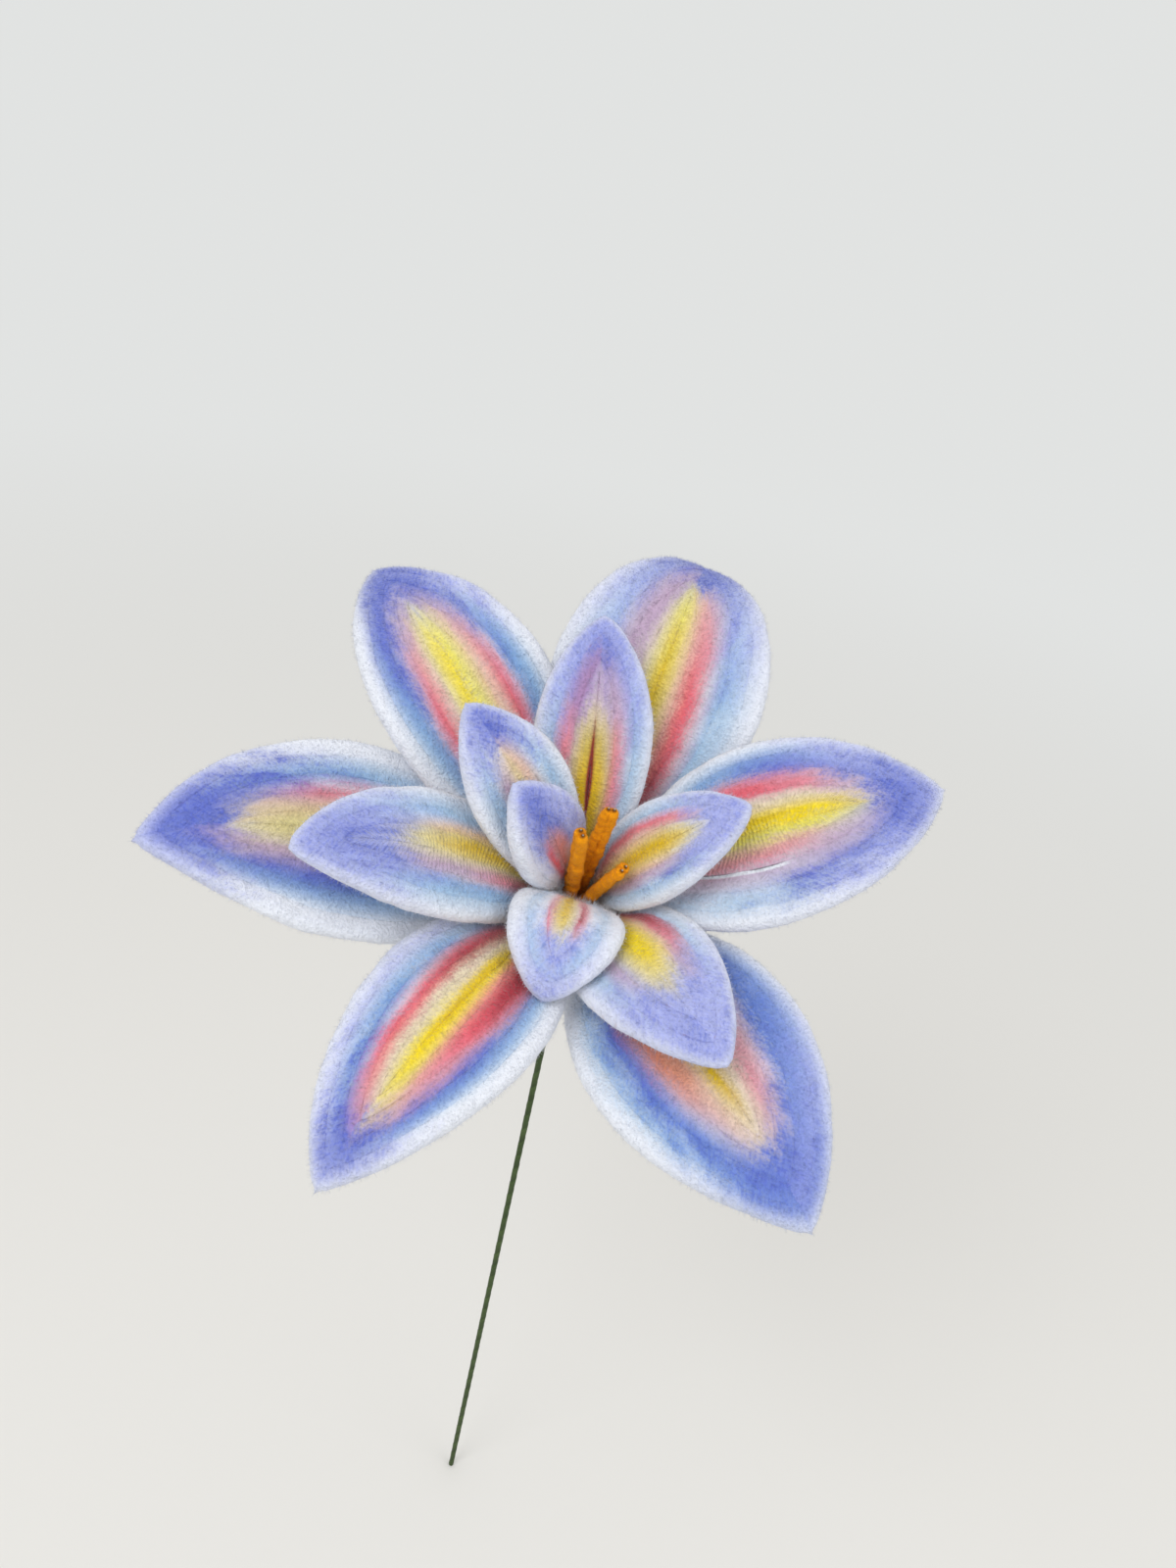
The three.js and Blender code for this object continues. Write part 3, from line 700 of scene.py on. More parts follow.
    def pile(self):
        """The finished material: dye on white pile, thinner at the rim and on the back."""
        tint, bare = self.coats()
        white_rim = self.across.step(0.84, 1.0) * 0.4
        soaked_through = self.face.step(-0.9, 0.3) * 0.75 + 0.25
        tint = self.mix(self.seams(tint), colour("white"), white_rim)
        tint = self.mix(colour("white"), tint, soaked_through)
        if self.spec["slit"] > OPEN_SLIT:
            tint = self.slit(tint)
        grain, tufts, flecks = (self.kinds[kind] for kind in ("grain", "tufts", "flecks"))
        shade = 1.0 + self.uneven("lightness") * (1 - bare * 0.6) + flecks * 0.16
        ribs = (self.run * 5.6 + tufts * 5.0).maths("SINE") * (1 - self.across.step(0.2, 0.45))
        height = grain * 1.6 + tufts * 1.2 + ribs * (0.35 * self.spec["ribs"])
        return self.principled({
            "Base Color": self.dimmed(tint, shade),
            "Roughness": 0.95,
            "Specular IOR Level": 0.12,
            "Sheen Weight": 0.3,
            "Sheen Roughness": 0.6,
            "Normal": self.bump(height, 0.7, 0.6),
        })


def direction(azimuth, rise):
    return np.stack(
        [np.cos(rise) * np.cos(azimuth), np.cos(rise) * np.sin(azimuth), np.sin(rise)], -1)


def normalised(vectors):
    return vectors / np.maximum(np.linalg.norm(vectors, axis=-1, keepdims=True), 1e-12)


def smoothstep(x, low, high):
    t = np.clip((x - low) / (high - low), 0, 1)
    return t * t * (3 - 2 * t)


def soft_noise(shape, rows, columns, rng):
    """Even noise that joins up at all four edges, with lumps rows by columns cells wide."""
    blur = 8
    grid = rng.standard_normal(shape)
    down = np.fft.fftfreq(shape[0])[:, None] * rows
    across = np.fft.fftfreq(shape[1])[None, :] * columns
    smooth = np.fft.ifft2(np.fft.fft2(grid) * np.exp(-blur * (down ** 2 + across ** 2))).real
    return smooth / max(smooth.std(), 1e-9)


def catmull(points, count):
    """A smooth line of count places through points."""
    points = np.asarray(points, float)
    padded = np.vstack([2 * points[0] - points[1], points, 2 * points[-1] - points[-2]])
    where = np.linspace(0, len(points) - 1, count)
    k = np.minimum(where.astype(int), len(points) - 2)
    t = (where - k)[:, None]
    a, b, c, d = (padded[k + m] for m in range(4))
    return 0.5 * (2 * b + (c - a) * t + (2 * a - 5 * b + 4 * c - d) * t ** 2
                  + (3 * b - a - 3 * c + d) * t ** 3)


def head_to_row(points):
    """Points in millimetres about the flower's own axis, as metres in the row's frame."""
    return (points @ HEAD_TURN.T + HEAD_CENTRE) * MM


def row_to_head(points):
    """The other way about, from millimetres in the row's frame."""
    return (points - HEAD_CENTRE) @ HEAD_TURN


class PetalSheet:
    """The sheet that a petal's loops lie in: u along the midrib, v across it, n off its back."""

    def __init__(self, spec):
        self.__dict__.update(spec)
        self.grid = np.linspace(0, self.length, MIDRIB_STEPS + 1)
        step = self.length / MIDRIB_STEPS
        middle = (self.grid[1:] + self.grid[:-1]) / 2
        seat = INNERMOST_SEAT_RADIUS + self.ring * SEAT_STEP
        start = direction(math.radians(self.azimuth), 0) * seat + [0, 0, self.height]
        ways = np.cumsum(self.heading(middle) * step, axis=0)
        self.points = np.vstack([start, start + ways])

    def turned(self, u):
        t = np.clip(u / self.length, 0, 1)
        return np.radians(self.azimuth + self.sway * t * t)

    def heading(self, u):
        t = np.clip(u / self.length, 0, 1)
        rise = self.base_rise + (self.tip_rise - self.base_rise) * t ** self.bend
        return direction(self.turned(u), np.radians(rise))

    def half_thickness(self, u):
        full = smoothstep(u, 0, THINNING_LENGTH)
        thick = BASE_THICKNESS + (CHENILLE_THICKNESS - BASE_THICKNESS) * full
        return thick / 2 * (1 - TIP_THINNING * smoothstep(u / self.length, TIP_THINS_FROM, 1.0))

    def at(self, u, v, n):
        rib = np.stack([np.interp(u, self.grid, self.points[:, i]) for i in range(3)], -1)
        along = self.heading(u)
        azimuth = self.turned(u)
        across = np.stack([-np.sin(azimuth), np.cos(azimuth), np.zeros_like(azimuth)], -1)
        across = normalised(across - along * np.sum(across * along, -1, keepdims=True))
        off = -np.cross(along, across)
        return rib + across * v[..., None] + off * n[..., None]

    def half_width(self, t):
        a, b = self.base_full, self.tip_full
        peak = a / (a + b)
        swell = t ** a * (1 - t) ** b / (peak ** a * (1 - peak) ** b)
        most = self.width / 2 - self.base_half * (1 - peak)
        return self.base_half * (1 - t) + most * swell

    def outline(self, loop, turn):
        """Places along and across the sheet of a loop's outer edge. Loop 0 is the midrib's gap."""
        pitches = self.loops - (loop or SLIT_REACH)
        start = pitches * self.base_pitch
        end = self.length - pitches * self.tip_pitch
        way = np.where(turn < 0.5, 2 * turn, 2 - 2 * turn)
        t = np.clip(way - END_CROWDING * np.sin(2 * np.pi * way) / (2 * np.pi), 0, 1)
        side = np.clip(END_TURN * np.sin(2 * np.pi * turn), -1, 1)
        gap = self.slit / 2 * (1 - (2 * t - 1) ** 4)
        if self.slit > OPEN_SLIT:
            gap = gap * (0.1 + smoothstep(t, *SLIT_OPENS)) * (1 - smoothstep(t, *SLIT_CLOSES))
        half = self.half_width(t) * loop / self.loops if loop else gap
        return np.stack([start + (end - start) * t, side * half], -1)


class Surface:
    """A surface of rows and columns that closes on itself both ways."""

    def __init__(self, points, lie, pile):
        self.points = points
        self.lie = lie
        self.pile = pile
        down = np.roll(points, -1, 0) - np.roll(points, 1, 0)
        over = np.roll(points, -1, 1) - np.roll(points, 1, 1)
        self.normals = normalised(np.cross(down, over))
        middle = points.mean(1, keepdims=True)
        if np.mean(np.sum((points - middle) * self.normals, -1)) < 0:
            self.normals = -self.normals

    def steps(self):
        """The way from each point to the next one down and to the next one over."""
        return [np.roll(self.points, -1, axis) - self.points for axis in (0, 1)]

    def sample(self, area, count, rng):
        """Rows, columns and shares past them of count places, more of them where area is large."""
        i, j = np.divmod(rng.choice(area.size, count, p=(area / area.sum()).ravel()), area.shape[1])
        return i, j, rng.random(count)[:, None], rng.random(count)[:, None]

    def blend(self, values, i, j, a, b):
        rows, columns = values.shape[:2]
        k, m = (i + 1) % rows, (j + 1) % columns
        first = values[i, j] * (1 - a) + values[k, j] * a
        second = values[i, m] * (1 - a) + values[k, m] * a
        return first * (1 - b) + second * b

    def strip_count(self):
        """Strips that a map is cut into, so that it isn't far longer than it is wide."""
        rows, columns = (np.linalg.norm(step, axis=-1) for step in self.steps())
        return max(1, round(math.sqrt(rows.sum(0).mean() / columns.sum(1).mean())))


def map_place(rows, columns, strips, i, j, first):
    """Map coordinates of row i and column j, on the strip that row first is on."""
    each = math.ceil(rows / strips)
    strip = np.clip(np.floor(first / each), 0, strips - 1)
    down = MAP_EDGES[0] + (1 - 2 * MAP_EDGES[0]) * (i - strip * each) / each
    over = MAP_EDGES[1] + (1 - 2 * MAP_EDGES[1]) * j / columns
    return np.stack([down, (strip + over) / strips], -1)


def put_map(mesh, places):
    layer = mesh.uv_layers.new(name=BAKE_MAP)
    layer.uv.foreach_set("vector", places.astype(np.float32).ravel())


def put_points(mesh, points, lie, pile):
    """Moves a mesh's points to their places on the flower and says where in the pile they are."""
    mesh.vertices.foreach_set("co", head_to_row(points).astype(np.float32).ravel())
    for name, values in (("lie", lie), ("pile", pile)):
        layer = mesh.attributes.new(name, "FLOAT_VECTOR", "POINT")
        layer.data.foreach_set("vector", np.ascontiguousarray(values, np.float32).ravel())


def corner_places(mesh, columns):
    """Row and column of the four corners of each face."""
    corners = np.empty(len(mesh.loops), np.int64)
    mesh.loops.foreach_get("vertex_index", corners)
    return [part.reshape(-1, 4) for part in np.divmod(corners, columns)]


def select_only(*objects):
    bpy.ops.object.select_all(action="DESELECT")
    for obj in objects:
        obj.select_set(True)
    bpy.context.view_layer.objects.active = objects[0]


def closed_shell(obj, doubled=False):
    """Merges the doubled points of a shell's seams, turns its faces outwards and smooths it."""
    select_only(obj)
    bpy.ops.object.mode_set(mode="EDIT")
    bpy.ops.mesh.select_all(action="SELECT")
    if doubled:
        bpy.ops.mesh.remove_doubles(threshold=1e-7)
    bpy.ops.mesh.normals_make_consistent(inside=False)
    bpy.ops.object.mode_set(mode="OBJECT")
    bpy.ops.object.shade_smooth()
    return obj


def new_primitive(name):
    obj = bpy.context.object
    obj.name = name
    obj.data.name = name
    return obj, obj.data


def ring_object(name, surface):
    """A ring primitive with every point moved to its place on the surface."""
    rows, columns = surface.points.shape[:2]
    bpy.ops.object.select_all(action="DESELECT")
    bpy.ops.mesh.primitive_torus_add(
        major_segments=rows, minor_segments=columns, generate_uvs=False)
    obj, mesh = new_primitive(name)
    put_points(mesh, surface.points, surface.lie, surface.pile)
    i, j = corner_places(mesh, columns)
    i = np.where((i == 0) & (i.max(1, keepdims=True) == rows - 1), rows, i)
    j = np.where((j == 0) & (j.max(1, keepdims=True) == columns - 1), columns, j)
    first = i.min(1, keepdims=True)
    put_map(mesh, map_place(rows, columns, surface.strip_count(), i, j, first))
    return closed_shell(obj)


def tube_object(name, points, lie, pile):
    """A grid primitive rolled into a tube along its rows, its seam and its ends closed."""
    rows, sides = points.shape[:2]
    bpy.ops.object.select_all(action="DESELECT")
    bpy.ops.mesh.primitive_grid_add(x_subdivisions=sides, y_subdivisions=rows - 1)
    obj, mesh = new_primitive(name)
    put_points(mesh, *(np.concatenate([part, part[:, :1]], 1) for part in (points, lie, pile)))
    i, j = corner_places(mesh, sides + 1)
    while mesh.uv_layers:
        mesh.uv_layers.remove(mesh.uv_layers[0])
    strips = max(1, round(math.sqrt(rows / sides)))
    put_map(mesh, map_place(rows, sides, strips, i, j, i.min(1, keepdims=True)))
    return closed_shell(obj, doubled=True)


def fibres_object(name, surface, weights, length, combed, rng, density, longest=1):
    """Short pointed fibres that stand out of the surface, as one mesh."""
    area = np.linalg.norm(np.cross(*surface.steps()), axis=-1) * weights
    count = int(area.sum() * density * (1))
    spots = surface.sample(area, count, rng)
    root, normal, comb, lie, pile = (
        surface.blend(values, *spots)
        for values in (surface.points, surface.normals, combed, surface.lie, surface.pile))
    normal = normalised(normal)
    way = normalised(normal + comb + rng.standard_normal((count, 3)) * FIBRE_STRAY)
    near_base = 1 - smoothstep(lie[:, :1], *BASE_REACH)
    near_rim = smoothstep(lie[:, 2:], RIM_FROM, 1)
    lengths = length / MM * rng.uniform(*FIBRE_LENGTHS, (count, 1))
    lengths = lengths * (1 + (longest - 1) * near_base + RIM_EXTRA * near_rim)
    radius = bpy.context.scene.amaryllis_sizes.fibre_radius / MM
    radius = radius * rng.uniform(*FIBRE_RADII, (count, 1))
    first = normalised(np.cross(way, rng.standard_normal((count, 3))))
    second = np.cross(way, first)
    foot = root - normal * radius * ROOT_DEPTH
    points = np.empty((count, 4, 3))
    for k, angle in enumerate(np.arange(3) * 2 * np.pi / 3):
        points[:, k] = foot + radius * (first * math.cos(angle) + second * math.sin(angle))
    points[:, 3] = foot + way * lengths

    faces = np.array([[0, 1, 3], [1, 2, 3], [2, 0, 3], [2, 1, 0]])
    corners = (np.arange(count)[:, None, None] * 4 + faces).ravel()
    mesh = bpy.data.meshes.new(name)
    mesh.vertices.add(count * 4)
    mesh.loops.add(len(corners))
    mesh.loops.foreach_set("vertex_index", corners.astype(np.int32))
    mesh.polygons.add(count * 4)
    mesh.polygons.foreach_set("loop_start", (np.arange(count * 4) * 3).astype(np.int32))
    lie = np.repeat(lie[:, None], 4, 1)
    # Painted light: the tips of fibres at the rims are paled towards white
    lie[:, 3, 2] += RIM_TIP_PAINTED_LIGHT * near_rim[:, 0]
    pile = np.repeat(pile[:, None], 4, 1)
    pile[:, :, 1] = rng.random((count, 1))
    put_points(mesh, points, lie, pile)
    mesh.update(calc_edges=True)

    i, j, a, b = spots
    i, j = i + a[:, 0], j + b[:, 0]
    spot = map_place(*surface.points.shape[:2], surface.strip_count(), i, j, i)
    nudge = np.array([[0, 0], [0.003, 0], [0.0015, 0.003]])
    put_map(mesh, np.repeat(np.clip(spot, 0.004, 0.996)[:, None], 12, 1) + np.tile(nudge, (4, 1)))
    obj = bpy.data.objects.new(name, mesh)
    bpy.context.collection.objects.link(obj)
    select_only(obj)
    bpy.ops.object.shade_smooth()
    return obj


def joined(first, *others):
    select_only(first, *others)
    bpy.ops.object.join()
    return first


def give_finish(obj, material):
    obj.data.materials.clear()
    obj.data.materials.append(material)


def dress(piece, material, node):
    """Gives a piece its finish, and lets it stand for its node on the one body."""
    give_finish(piece, material)
    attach(piece, "root")
    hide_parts(node)


def loop_surface(sheet, loop, rng):
    """Surface of one loop of chenille, how much of its pile shows, and how that is combed."""
    sizes = bpy.context.scene.amaryllis_sizes
    fine = np.linspace(0, 1, 400)
    line = (sheet.outline(loop - 1, fine) + sheet.outline(loop, fine)) / 2
    spread = np.concatenate([[0], np.cumsum(np.linalg.norm(np.diff(line, axis=0), axis=-1))])
    length = spread[-1]
    rows = min(MOST_RING_ROWS, int(length / (sizes.row_spacing / MM)))
    columns = sizes.section_sides
    turn = np.interp(np.arange(rows) / rows * length, spread, fine)
    angle = (np.arange(columns) / columns * 2 * np.pi)[None, :]

    free = (np.cos(angle) > 0) & (loop == sheet.loops)
    power = np.where(free, ROUND_SIDE, SQUARE_SIDE)
    x, z = (np.sign(c) * np.abs(c) ** (2 / power) for c in (np.cos(angle), np.sin(angle)))
    free = free & (x > 0)
    inside = sheet.outline(loop - 1, turn)[:, None]
    width = sheet.outline(loop, turn)[:, None] - inside
    share = 0.5 + 0.5 * x
    closeness = np.where(free, 0, PRESSED)
    if loop == 1 and sheet.slit > OPEN_SLIT:
        closeness = np.where(x < 0, SLIT_FLOOR * smoothstep(z, -1.0, -0.55), closeness)
    place = inside + width * (0.5 + (share - 0.5) * (1 + closeness))[..., None]

    crown = 1 + sizes.crown / MM / (CHENILLE_THICKNESS / 2) * (1 - x ** 2)
    shape = (rows, columns)
    lumps = sum(high * soft_noise(shape, down, over, rng) for down, over, high in LUMPS)
    bulge = sizes.lumps / MM * lumps
    n = (sheet.half_thickness(place[..., 0]) * crown + bulge) * z
    place = place + normalised(width) * np.where(free, bulge * x, 0)[..., None]
    u, v = place[..., 0], place[..., 1]
    wave = np.sin(u / 7 + sheet.azimuth) * np.sin(v / 6 + 2 * sheet.azimuth) * WAVE_HEIGHT
    points = sheet.at(u, v, n + wave)

    every = np.zeros(shape)
    lie = np.stack([u / sheet.length, v / (sheet.width / 2),
                    (loop - 1 + share) / sheet.loops + every], -1)
    run = np.arange(rows)[:, None] / rows * length
    pile = np.stack([every - z, every + 0.5, every + run], -1)
    shows = np.where(free, 1 - RIM_THINNING * smoothstep(x, 0.5, 0.95), np.abs(x) < HIDDEN_FROM)
    return Surface(points, lie, pile), shows + every, sheet.heading(u) * COMBED_LEAN


def tube_surface(centres, radii, sides, rng, lumps):
    """A surface round a line of centres, which closes where the given radii fall to nothing."""
    along = normalised(np.gradient(centres, axis=0))
    first = np.empty_like(centres)
    seed = np.array([1.0, 0.2, 0.1])
    for k, way in enumerate(along):
        seed = seed - way * seed.dot(way)
        seed = seed / np.linalg.norm(seed)
        first[k] = seed
    second = np.cross(along, first)
    angle = (np.arange(sides) / sides * 2 * np.pi)[:, None]
    ring = first[:, None] * np.cos(angle) + second[:, None] * np.sin(angle)
    uneven = 1 + lumps * soft_noise((len(centres), sides), 2.5, 2.5, rng)
    return centres[:, None] + ring * (radii[:, None] * uneven)[..., None], ring


def domed(count, dome):
    """Radii along a rod, 1 but for its ends, which are rounded over dome steps."""
    k = np.arange(count)
    ends = np.clip(np.minimum(k, count - 1 - k) / dome, 0, 1)
    return np.sqrt(1 - (1 - ends) ** 2)


def tube_with_fibres(name, points, lie, pile, shows, length, rng, density):
    """A tube and the fibres that stand out of it, with none at its two ends."""
    shows[0] = shows[-1] = 0
    fibres = fibres_object(
        f"{name}_fibres", Surface(points, lie, pile), shows, length, np.zeros(points.shape), rng,
        density)
    return [tube_object(name, points, lie, pile), fibres]


def tail_objects(sheet, rng):
    """The twisted tail of a petal's outermost loop, fluffy down to the binding."""
    sizes = bpy.context.scene.amaryllis_sizes
    ring = TAIL_RING_RADIUS + sheet.ring * TAIL_RING_STEP
    end = direction(math.radians(sheet.azimuth), 0) * ring + [0, 0, -TAIL_DEPTH]
    inside, seat = sheet.at(np.array([sheet.base_pitch / 2, 0]), np.zeros(2), np.zeros(2))
    rows, sides = 60, 12
    every = np.zeros((rows, sides))
    line = catmull([inside, seat, (seat + end) / 2, end], rows)
    bound = 1 - smoothstep(line[:, 2], -BINDING_RIM_DEPTH, -BINDING_RIM_DEPTH + 3)
    radii = TAIL_PILE_RADIUS + (TAIL_BOUND_RADIUS - TAIL_PILE_RADIUS) * bound
    points, _ = tube_surface(line, domed(rows, dome=3) * radii, sides, rng, lumps=0.08)
    lie = np.stack([every, every, every + 1], -1)
    pile = np.stack([every - 1, every + 0.5, every + np.linspace(0, 30, rows)[:, None]], -1)
    return tube_with_fibres(
        f"{sheet.name}_tail", points, lie, pile, every + (1 - bound)[:, None],
        sizes.fibre_length, rng, sizes.fibre_density * TAIL_CROWDING)


def make_petals(whorl):
    sizes = bpy.context.scene.amaryllis_sizes
    for index, spec in enumerate(PETALS):
        if spec["whorl"] != whorl:
            continue
        spec = {**COMMON, **WHORLS[whorl], **spec}
        sheet = PetalSheet(spec)
        material = PetalDye(spec).pile()
        for loop in range(1, sheet.loops + 1):
            rng = np.random.default_rng(SEEDS_PER_PETAL * index + loop)
            surface, shows, combed = loop_surface(sheet, loop, rng)
            node = f"{sheet.name}_loop_{loop}"
            piece = ring_object(f"{node}_pile", surface)
            parts = [fibres_object(
                f"{node}_fibres", surface, shows, sizes.fibre_length, combed, rng,
                sizes.fibre_density, BASE_FIBRES[whorl])]
            if loop == sheet.loops:
                parts.extend(tail_objects(sheet, rng))
            dress(joined(piece, *parts), material, node)


class AMARYLLIS_OT_outer_petals(bpy.types.Operator):
    """Make the six outer petals, five plush loops each."""

    bl_idname = "amaryllis.outer_petals"
    bl_label = "Outer petals"

    def execute(self, context):
        make_petals("outer")
        return {"FINISHED"}


class AMARYLLIS_OT_middle_petals(bpy.types.Operator):
    """Make the four middle petals, three plush loops each."""

    bl_idname = "amaryllis.middle_petals"
    bl_label = "Middle petals"

    def execute(self, context):
        make_petals("middle")
        return {"FINISHED"}


class AMARYLLIS_OT_inner_petals(bpy.types.Operator):
    """Make the three inner petals, three plush loops each."""

    bl_idname = "amaryllis.inner_petals"
    bl_label = "Inner petals"

    def execute(self, context):
        make_petals("inner")
        return {"FINISHED"}


def stamen_material():
    g = Graph(bpy.data.materials.new("orange_stamen_pile"))
    along, inward, _ = g.split(g.attribute("lie"))
    place = g.place()
    grain = g.noise(place, 2600.0, 2.0)
    mottle = g.noise(place, 700.0, 3.0)
    # Darker towards the base, and painted shade on the sides where the two strands face each other
    orange_share = (along + (mottle - 0.5) * 0.9).step(0.05, 0.80) * (1 - inward.step(0.3, 0.9) * 0.7)
    tint = g.mix(colour("umber"), colour("orange"), orange_share)
    # Painted shade in the hole at the tip of the stamen
    tint = g.mix(tint, colour("cut_end_shade"), along.step(0.992, 0.999))
    return g.principled({
        "Base Color": g.dimmed(tint, grain * 0.7 + 0.66),
        "Roughness": 0.9,
        "Specular IOR Level": 0.2,
        "Sheen Weight": 0.15,
        "Sheen Tint": (1.0, 0.75, 0.3, 1.0),
        "Normal": g.bump(grain + mottle, 0.8, 0.4),
    })


def steel_material():
    g = Graph(bpy.data.materials.new("cut_steel_wire"))
    scratches = g.noise(g.place(), 3000.0, 3.0)
    return g.principled({
        "Base Color": g.mix(colour("steel"), colour("soot"), scratches.step(0.5, 0.8) * 0.4),
        "Metallic": 1.0,
        "Roughness": scratches * 0.3 + 0.2,
    })


def stamen_line(spec, side, count):
    """Centres of one strand of a stamen, upright out of the binding and then leaning."""
    seat, lean = math.radians(spec["seat"]), math.radians(spec["lean"])
    leaning = direction(lean, math.radians(spec["rise"]))
    start = direction(seat, 0) * STAMEN_SEAT_RADIUS
    start = start + direction(seat + math.pi / 2, 0) * side * STAMEN_STRAND_OFFSET
    rise = np.linspace(-STAMEN_FOOT, spec["length"], count)[:, None]
    bent = np.clip(rise, 0, STAMEN_BEND_LENGTH)
    lent = bent ** 2 / (2 * STAMEN_BEND_LENGTH)
    up = np.where(rise < 0, rise, bent - lent)
    line = start + up * [0, 0, 1] + (lent + np.maximum(rise - STAMEN_BEND_LENGTH, 0)) * leaning
    share = np.clip(rise / spec["length"], 0, 1)
    wander = np.sin(share * STAMEN_WAVES + seat) * np.sin(share * np.pi) * STAMEN_WANDER
    return line + wander * np.cross(leaning, [0, 0, 1])


def stamen_strand(spec, side, rng):
    """One of a stamen's two strands, and its fibres."""
    row_spacing, sides = 0.35, 16
    rows = int((spec["length"] + STAMEN_FOOT) / row_spacing)
    every = np.zeros((rows, sides))
    radii = domed(rows, dome=4) * np.linspace(1.06, 0.96, rows) * STAMEN_PILE_RADIUS
    points, ring = tube_surface(stamen_line(spec, side, rows), radii, sides, rng, lumps=0.10)
    along = every + np.linspace(0, 1, rows)[:, None]
    beside = direction(math.radians(spec["seat"]) + math.pi / 2, 0)
    lie = np.stack([along, np.sum(ring * beside, -1) * -side, every], -1)
    pile = np.stack([every, every, along], -1)
    return tube_with_fibres(
        f"stamen_pile_{spec['name']}_strand", points, lie, pile, every + 1,
        bpy.context.scene.amaryllis_sizes.stamen_fibre_length, rng, STAMEN_DENSITY)


class AMARYLLIS_OT_stamens(bpy.types.Operator):
    """Make the three folded orange stamens, and give their core wires and the stem's a finish."""

    bl_idname = "amaryllis.stamens"
    bl_label = "Stamens"

    def execute(self, context):
        material = stamen_material()
        for index, spec in enumerate(STAMENS):
            parts = []
            for side in (-1, 1):
                rng = np.random.default_rng(STAMEN_SEED + 2 * index + side)
                parts.extend(stamen_strand(spec, side, rng))
            piece = joined(*parts)
            node = f"stamen_pile_{spec['name']}"
            piece.name = f"{node}_velvet"
            dress(piece, material, node)
        steel = steel_material()
        for wire in ("stamen_wire_1", "stamen_wire_2", "stamen_wire_3", "stem_wire"):
            give_finish(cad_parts[wire], steel)
        return {"FINISHED"}


def tape_material():
    g = Graph(bpy.data.materials.new("green_crepe_tape"))
    place = g.place()
    edge = g.split(g.attribute("lie"))[2]
    crepe = g.noise(g.scaled(place, (900.0, 900.0, 2600.0)), 1.0, 3.0)
    stain = g.noise(place, 120.0, 3.0)
    tint = g.mix(colour("leaf"), colour("moss"), stain.step(0.35, 0.75) * 0.6)
    return g.principled({
        # Each turn of tape is painted lighter up to its raised lip, a painted highlight, and darker
        # just past it, a painted shade under the lapped edge
        "Base Color": g.dimmed(tint, (crepe * 0.9 + 0.55) * (edge * 0.55 + 0.66)),
        "Roughness": stain * 0.25 + 0.5,
        "Specular IOR Level": 0.4,
        "Normal": g.bump(crepe, 0.5, 0.15),
    })


def wound(run, angle, pitch):
    """How far a point lies through one turn of the tape, from 0 just past its edge to 1."""
    return np.mod(run / pitch - angle / (2 * np.pi), 1.0)


def stem_centres(rows):
    """Centres of the stem from its cut end to past the neck, and how far along it they are."""
    bend_length = NECK_BEND_RADIUS * NECK_BEND
    top = HEAD_STALK - STEM_TOP_BELOW_RIM
    run = np.linspace(0, STEM_STRAIGHT + bend_length + top, rows)
    bent = np.clip(run - STEM_STRAIGHT, 0, bend_length) / NECK_BEND_RADIUS
    past = np.maximum(run - STEM_STRAIGHT - bend_length, 0)
    y = -NECK_BEND_RADIUS * (1 - np.cos(bent)) - past * NECK_SIN
    z = np.minimum(run, STEM_STRAIGHT) + NECK_BEND_RADIUS * np.sin(bent) + past * NECK_COS
    return np.stack([0 * run, y, z], -1), run


def make_stem_tape(material):
    """The tape wound up the stem wire, whose edge stands up a little at each turn."""
    rows, sides = 700, 20
    centres, run = stem_centres(rows)
    rng = np.random.default_rng(STEM_SEED)
    _, ring = tube_surface(centres, np.ones(rows), sides, rng, lumps=0.0)
    through = wound(run[:, None], np.arange(sides) / sides * 2 * np.pi, STEM_TAPE_PITCH)
    creases = STEM_CREASES * soft_noise((rows, sides), 2, 2, rng)
    radius = STEM_RADIUS + STEM_TAPE_EDGE * through + creases
    radius[0] = STEM_CUT_RADIUS
    radius[-1] = 0
    points = row_to_head(centres[:, None] + ring * radius[..., None])
    lie = np.stack([run[:, None] / run[-1] + 0 * through, through, through], -1)
    dress(tube_object("stem_tape_spiral", points, lie, lie), material, "stem_tape")


def make_binding(material):
    """The cup of tape wound over the petals' tails, each turn lapped over the last."""
    steps, around = 60, 64
    inner = catmull(BINDING_PROFILE, steps)
    section = np.concatenate([inner + [BINDING_WALL, 0], inner[::-1]])
    outside = np.repeat([1.0, 0.0], steps)
    angle = np.arange(around)[:, None] / around * 2 * np.pi
    through = wound(section[:, 1], -angle, BINDING_PITCH)
    reach = section[:, 0] + outside * BINDING_EDGE * (through - BINDING_SINK)
    points = np.stack(
        [reach * np.cos(angle), reach * np.sin(angle), section[:, 1] + 0 * reach], -1)
    lie = np.stack([0 * reach, through, through], -1)
    binding = ring_object("binding_tape_spiral", Surface(points, lie, lie))
    dress(binding, material, "binding_tape")


class AMARYLLIS_OT_stem(bpy.types.Operator):
    """Make the stem's spiral of green tape and the tape bound over the petals' tails."""

    bl_idname = "amaryllis.stem"
    bl_label = "Stem and binding"

    def execute(self, context):
        material = tape_material()
        make_stem_tape(material)
        make_binding(material)
        return {"FINISHED"}


